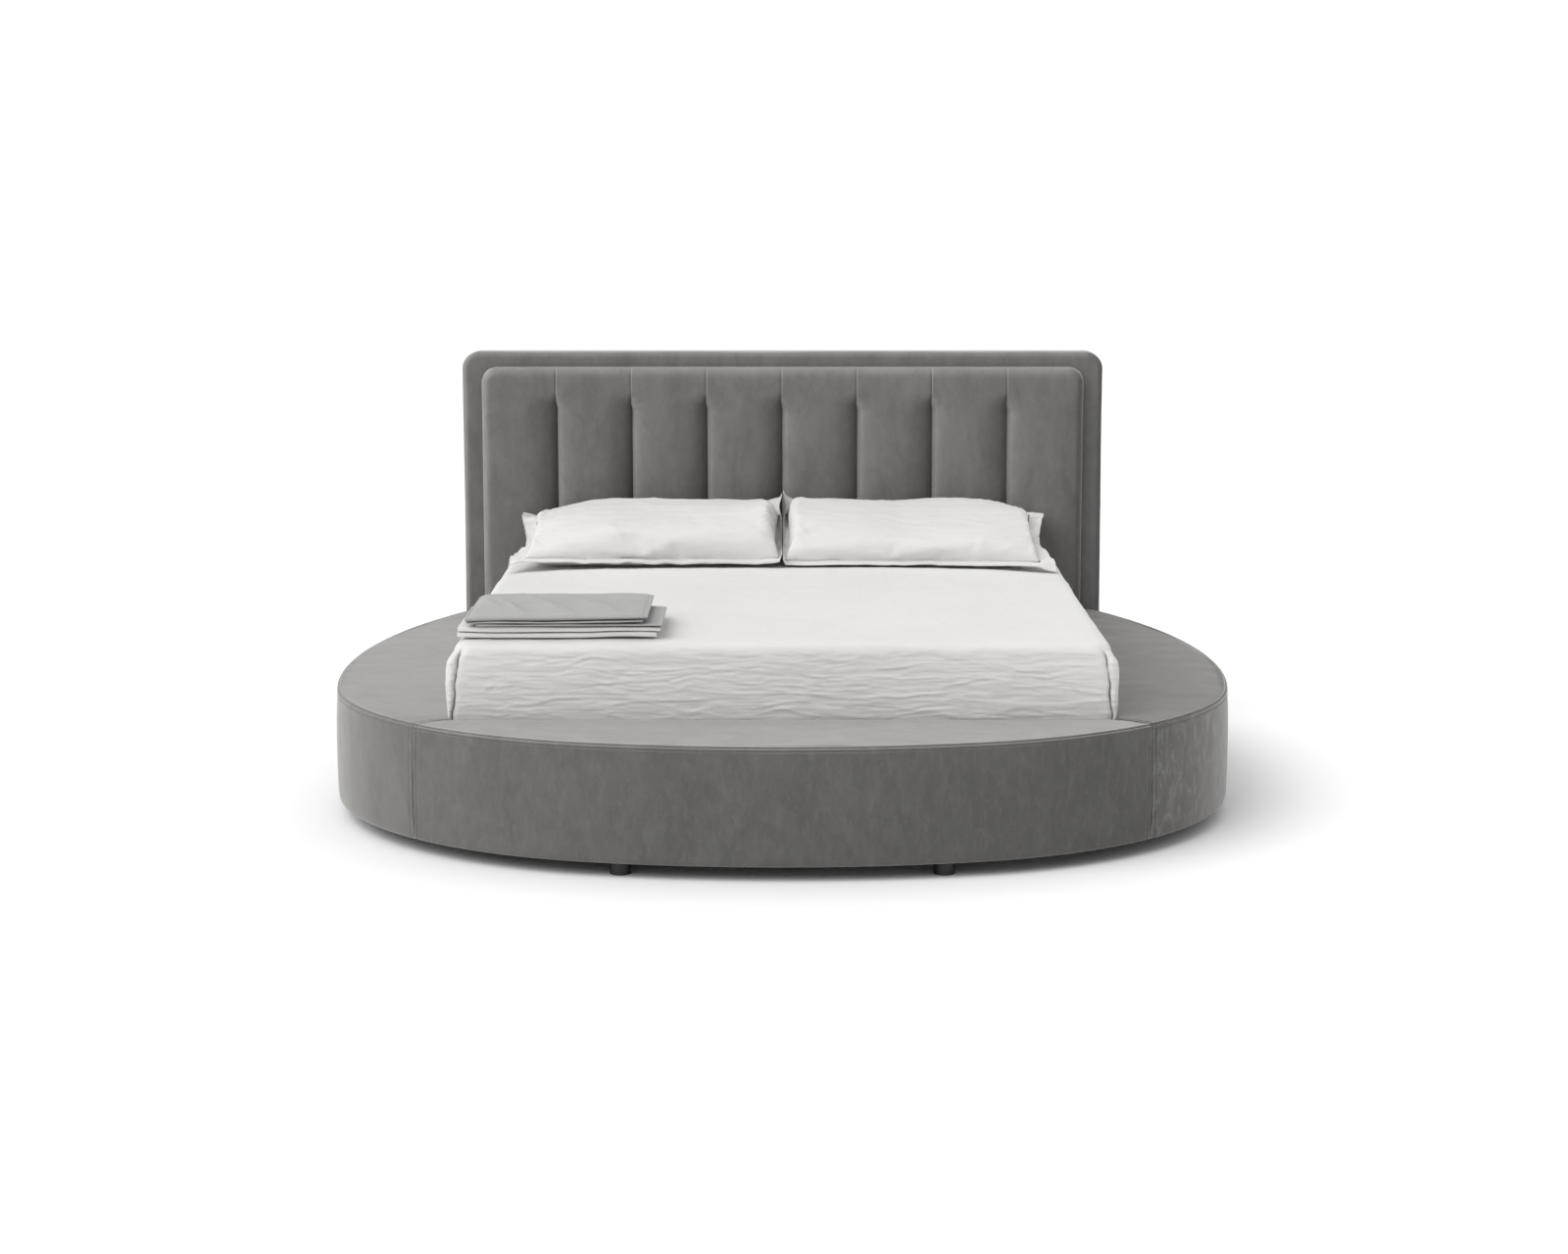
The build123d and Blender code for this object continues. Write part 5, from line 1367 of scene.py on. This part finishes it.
def nested_folds(left, right, front, back, bottom, height, plies, rolled_left, seed, crush, whole):
    """Points and faces of nested plies, each folded round at the front.

    whole is the stack's lowest and highest level, the seed of the way the line between its bundles
    wanders, and how much that line sinks from left to right.
    The plies' ends are open at the right, and at the left too unless they are rolled over there.
    """
    lowest, highest, line_seed, sink = whole
    along = spaced(right - left, PLY_STEP, np.array([0, 0.0012, 0.003, 0.0055]))
    share = along / along[-1]
    outer = height / 2 - 0.0006
    nose = front + outer
    depth = back - nose
    run = spaced(depth, PLY_STEP, np.array([0, 3, 6, 10, 15, 21, 28]) / 1000, "start")
    turn = np.linspace(np.pi / 2, 1.5 * np.pi, 25)
    blunt = np.sign(np.sin(turn)) * np.abs(np.sin(turn)) ** (0.8 if rolled_left else 0.5)
    points, faces, length = [], [], 0.0
    for ply in range(plies):
        radius = outer - PLY_GAP * ply
        path_y = nose + np.concatenate([run[:0:-1], radius * np.cos(turn), run[1:]])
        side = np.concatenate([np.ones(len(run) - 1), blunt, -np.ones(len(run) - 1)])
        if rolled_left:
            behind = np.clip((path_y - nose + radius) / NOSE, 0, 1)
            side = np.where(side > 0, side * (0.5 + 0.5 * np.sqrt(1 - (1 - behind) ** 2)), side)
        away = np.clip((path_y - nose) / depth, 0, 1)
        reach = side * radius * (1 - 0.12 * smooth(away, 0.0, 0.5))
        length += float(np.sum(np.hypot(np.diff(path_y), np.diff(reach))))
        slips = 0.0030 * hashed(np.full(2, ply), np.array([1, 2]), np.full(2, seed), 5)
        x = (left + slips[0] + 0.004) + (right + slips[1] - left - slips[0] - 0.008) * share
        gx, gy = np.meshgrid(x, path_y)
        flat, line = points_of(gx, gy), points_of(gx, 0.0)
        half = np.tile(reach[:, None], (1, len(x)))
        if rolled_left:
            inward = np.clip((gx - x[0]) / (outer * 2.2), 0, 1)
            closed = np.sqrt(np.maximum(1 - (1 - inward) ** 2, 0))
            open_front = smooth(gy, nose + 0.030, nose + 0.012)
            half = half * (closed + (1 - closed) * open_front)
        warp = flat + 0.03 * noise(flat, 6.0, seed + 3)[..., None]
        turned = points_of(warp[..., 0] * FOLD_RUN[0] + warp[..., 1] * FOLD_RUN[1],
                           warp[..., 1] * FOLD_RUN[0] - warp[..., 0] * FOLD_RUN[1], warp[..., 2])
        rumple = noise(turned, (3.0, 13.0, 1.0), seed + 4)
        rumple = rumple + 0.45 * noise(turned, (6.0, 34.0, 1.0), seed + 5)
        roll = hump(gy, nose, 0.025)
        upper = np.maximum(side, 0)[:, None] ** 0.6
        lift = crush * (rumple - 0.25) * upper * (1 - 0.4 * roll)
        if rolled_left:
            soft_end = smooth(np.minimum(gx - x[0], x[-1] - gx), 0.0, 0.030)
            held_down = (0.25 + 0.75 * soft_end) * (1 - 0.7 * smooth(away, 0.7, 1.0)[:, None])
            lift = held_down * upper * (crush * np.maximum(rumple, -0.2) + loose_folds(gx, gy))
            lift = lift - 0.004 * upper * (1 - soft_end)
        sag = -0.0010 * (1 + noise(flat, (7.0, 5.0, 1.0), seed)) * side[:, None]
        ends = np.exp(-np.minimum(share, 1 - share) * (right - left) / 0.02)
        up = np.clip((bottom + height / 2 + half + sag - lowest) / (highest - lowest), 0.001, 1)
        bend = np.exp(0.45 * noise(line, 5.5, line_seed) + sink * (share - 0.5))
        gz = lowest + (highest - lowest) * up ** bend + lift - upper * 0.0014 * ends
        wander = 0.0022 * noise(line, 8.0, seed + 2)
        if rolled_left:
            wander = wander + 0.007 * (1 + noise(line, 4.0, seed + 8))
        gy = gy + wander * roll
        gy = gy + 0.0030 * noise(points_of(gx, ply), 5.0, seed + 6) * away[:, None]
        start = len(points)
        points.extend(points_of(gx, gy, gz).reshape(-1, 3))
        faces.extend(grid_faces(*gx.shape, start).tolist())
        if ply == 0:
            hem = int(np.argmin(np.abs(x - (x[-1] - 0.011))))
            hem_path = points_of(gx, gy, gz + 0.0006)[:len(run) + 4, hem]
    return points, faces, length, hem_path


def folded_piece(name, slot, node, bundles, seed, crush=0.0012, sink=0.0):
    """A piece of folded linen: bundles of nested plies on one another, as one cloth."""
    points, faces, length = [], [], 0.0
    whole = (bundles[0][4], bundles[-1][4] + bundles[-1][5], seed, sink)
    for number, bundle in enumerate(bundles):
        more, more_faces, run, hem_path = nested_folds(*bundle, seed + 7 * number, crush, whole)
        faces.extend((np.array(more_faces) + len(points)).tolist())
        points.extend(more)
        length += run
    obj = finished(new_object(name, points, faces), slot, node)
    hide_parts(node)
    thicken(obj, 0.0009, 0.0)
    up = np.tile([0, 0, 1.0], (len(hem_path), 1))
    hem = stitches(f"{name}_hem", hem_path, up, 0.0032, 0.0016, 0.0004)
    finished(hem, slot, node, MATERIALS[slot])
    return obj, (round(bundles[-1][1] - bundles[-1][0], 3), round(length, 3))


def box_sides(node):
    """Lowest and highest corners of a CAD node."""
    corners = np.array(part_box(node))
    return corners.min(axis=0), corners.max(axis=0)


low, high = box_sides("folded_sheet")
half_height = (high[2] - low[2]) / 2
sheet, flat = folded_piece("folded_sheet_linen", "white_linen", "folded_sheet", [
    (low[0], high[0] - 0.012, low[1] + 0.003, high[1], low[2] + 0.0004, half_height, 3, False),
    (low[0] + 0.003, high[0], low[1], high[1], low[2] + half_height, half_height - 0.0004, 3, False),
], 71)

low, high = box_sides("folded_pillowcase")
case, flat = folded_piece("folded_pillowcase_linen", "grey_linen", "folded_pillowcase", [
    (low[0], high[0], low[1], high[1], low[2] + 0.0004, high[2] - low[2] - 0.0006, 2, False)], 87)

low, high = box_sides("folded_cover")
lower_height = 0.30 * (high[2] - low[2])
spread, flat = folded_piece("folded_cover_linen", "grey_linen", "folded_cover", [
    (low[0] + 0.004, high[0] - 0.010, low[1], high[1] - 0.01, low[2] + 0.0004, lower_height, 2, False),
    (low[0], high[0], low[1] + 0.001, high[1], low[2] + lower_height + 0.0008,
     high[2] - low[2] - lower_height, 3, True),
], 95, 0.0050, -1.1)


# Camera, light and stage

CAMERA_PLACE = (0.0047, -9.309, 1.930)
CAMERA_TILT = 81.23
FOCAL_LENGTH = 70.2
FLOOR_REACH = 60.0

camera_data = bpy.data.cameras.new("camera")
camera_data.lens = FOCAL_LENGTH
camera_data.sensor_width = 36.0
camera_data.clip_end = 200.0
camera = bpy.data.objects.new("camera", camera_data)
camera.location = CAMERA_PLACE
camera.rotation_euler = (math.radians(CAMERA_TILT), 0, 0)
bpy.context.scene.collection.objects.link(camera)
bpy.context.scene.camera = camera


def sun(name, place, strength, spread):
    """A wide soft light from a direction, as bright at every place."""
    data = bpy.data.lights.new(name, "SUN")
    data.energy = strength
    data.angle = math.radians(spread)
    obj = bpy.data.objects.new(name, data)
    obj.location = place
    obj.rotation_euler = (Vector((0.0, 0.0, 0.3)) - obj.location).to_track_quat("-Z", "Y").to_euler()
    bpy.context.scene.collection.objects.link(obj)


def studio_world():
    """White all round behind the bed, and on the camera's side white low down and dimmer above."""
    n = Nodes(bpy.data.worlds.new("studio"))
    axes = n.add("ShaderNodeSeparateXYZ", {"Vector": n.places["Generated"]}).outputs
    raised = n.span(axes["Z"], 0.14, 0.22, 1.04, 0.52)
    background = n.tree.nodes["Background"]
    n.put(background.inputs["Strength"], n.span(axes["Y"], -0.25, 0.2, raised, 1.04))
    n.put(background.inputs["Color"], grey(1.0))
    bpy.context.scene.world = n.owner


def pale_floor():
    """A pale floor, so wide that its far edge is not seen."""
    corners = [(x * FLOOR_REACH, y * FLOOR_REACH, 0) for x, y in ((-1, -1), (1, -1), (1, 1), (-1, 1))]
    obj = new_object("floor", corners, [(0, 1, 2, 3)], smooth_shaded=False)
    n = material("pale_floor")
    colour = n.mix(n.span(n.noise(2.0, 4.0), 0.3, 0.7), grey(0.965), grey(0.97))
    obj.data.materials.append(n.finish(Base_Color=colour, Roughness=0.8, Specular_IOR_Level=0.1))
    return obj


sun("key", (-3.9, -3.0, 5.0), 1.85, 54)
studio_world()
floor = pale_floor()

settings = bpy.context.scene.view_settings
settings.view_transform = "Standard"
settings.look = "None"
settings.exposure = 0.0
settings.gamma = 1.0
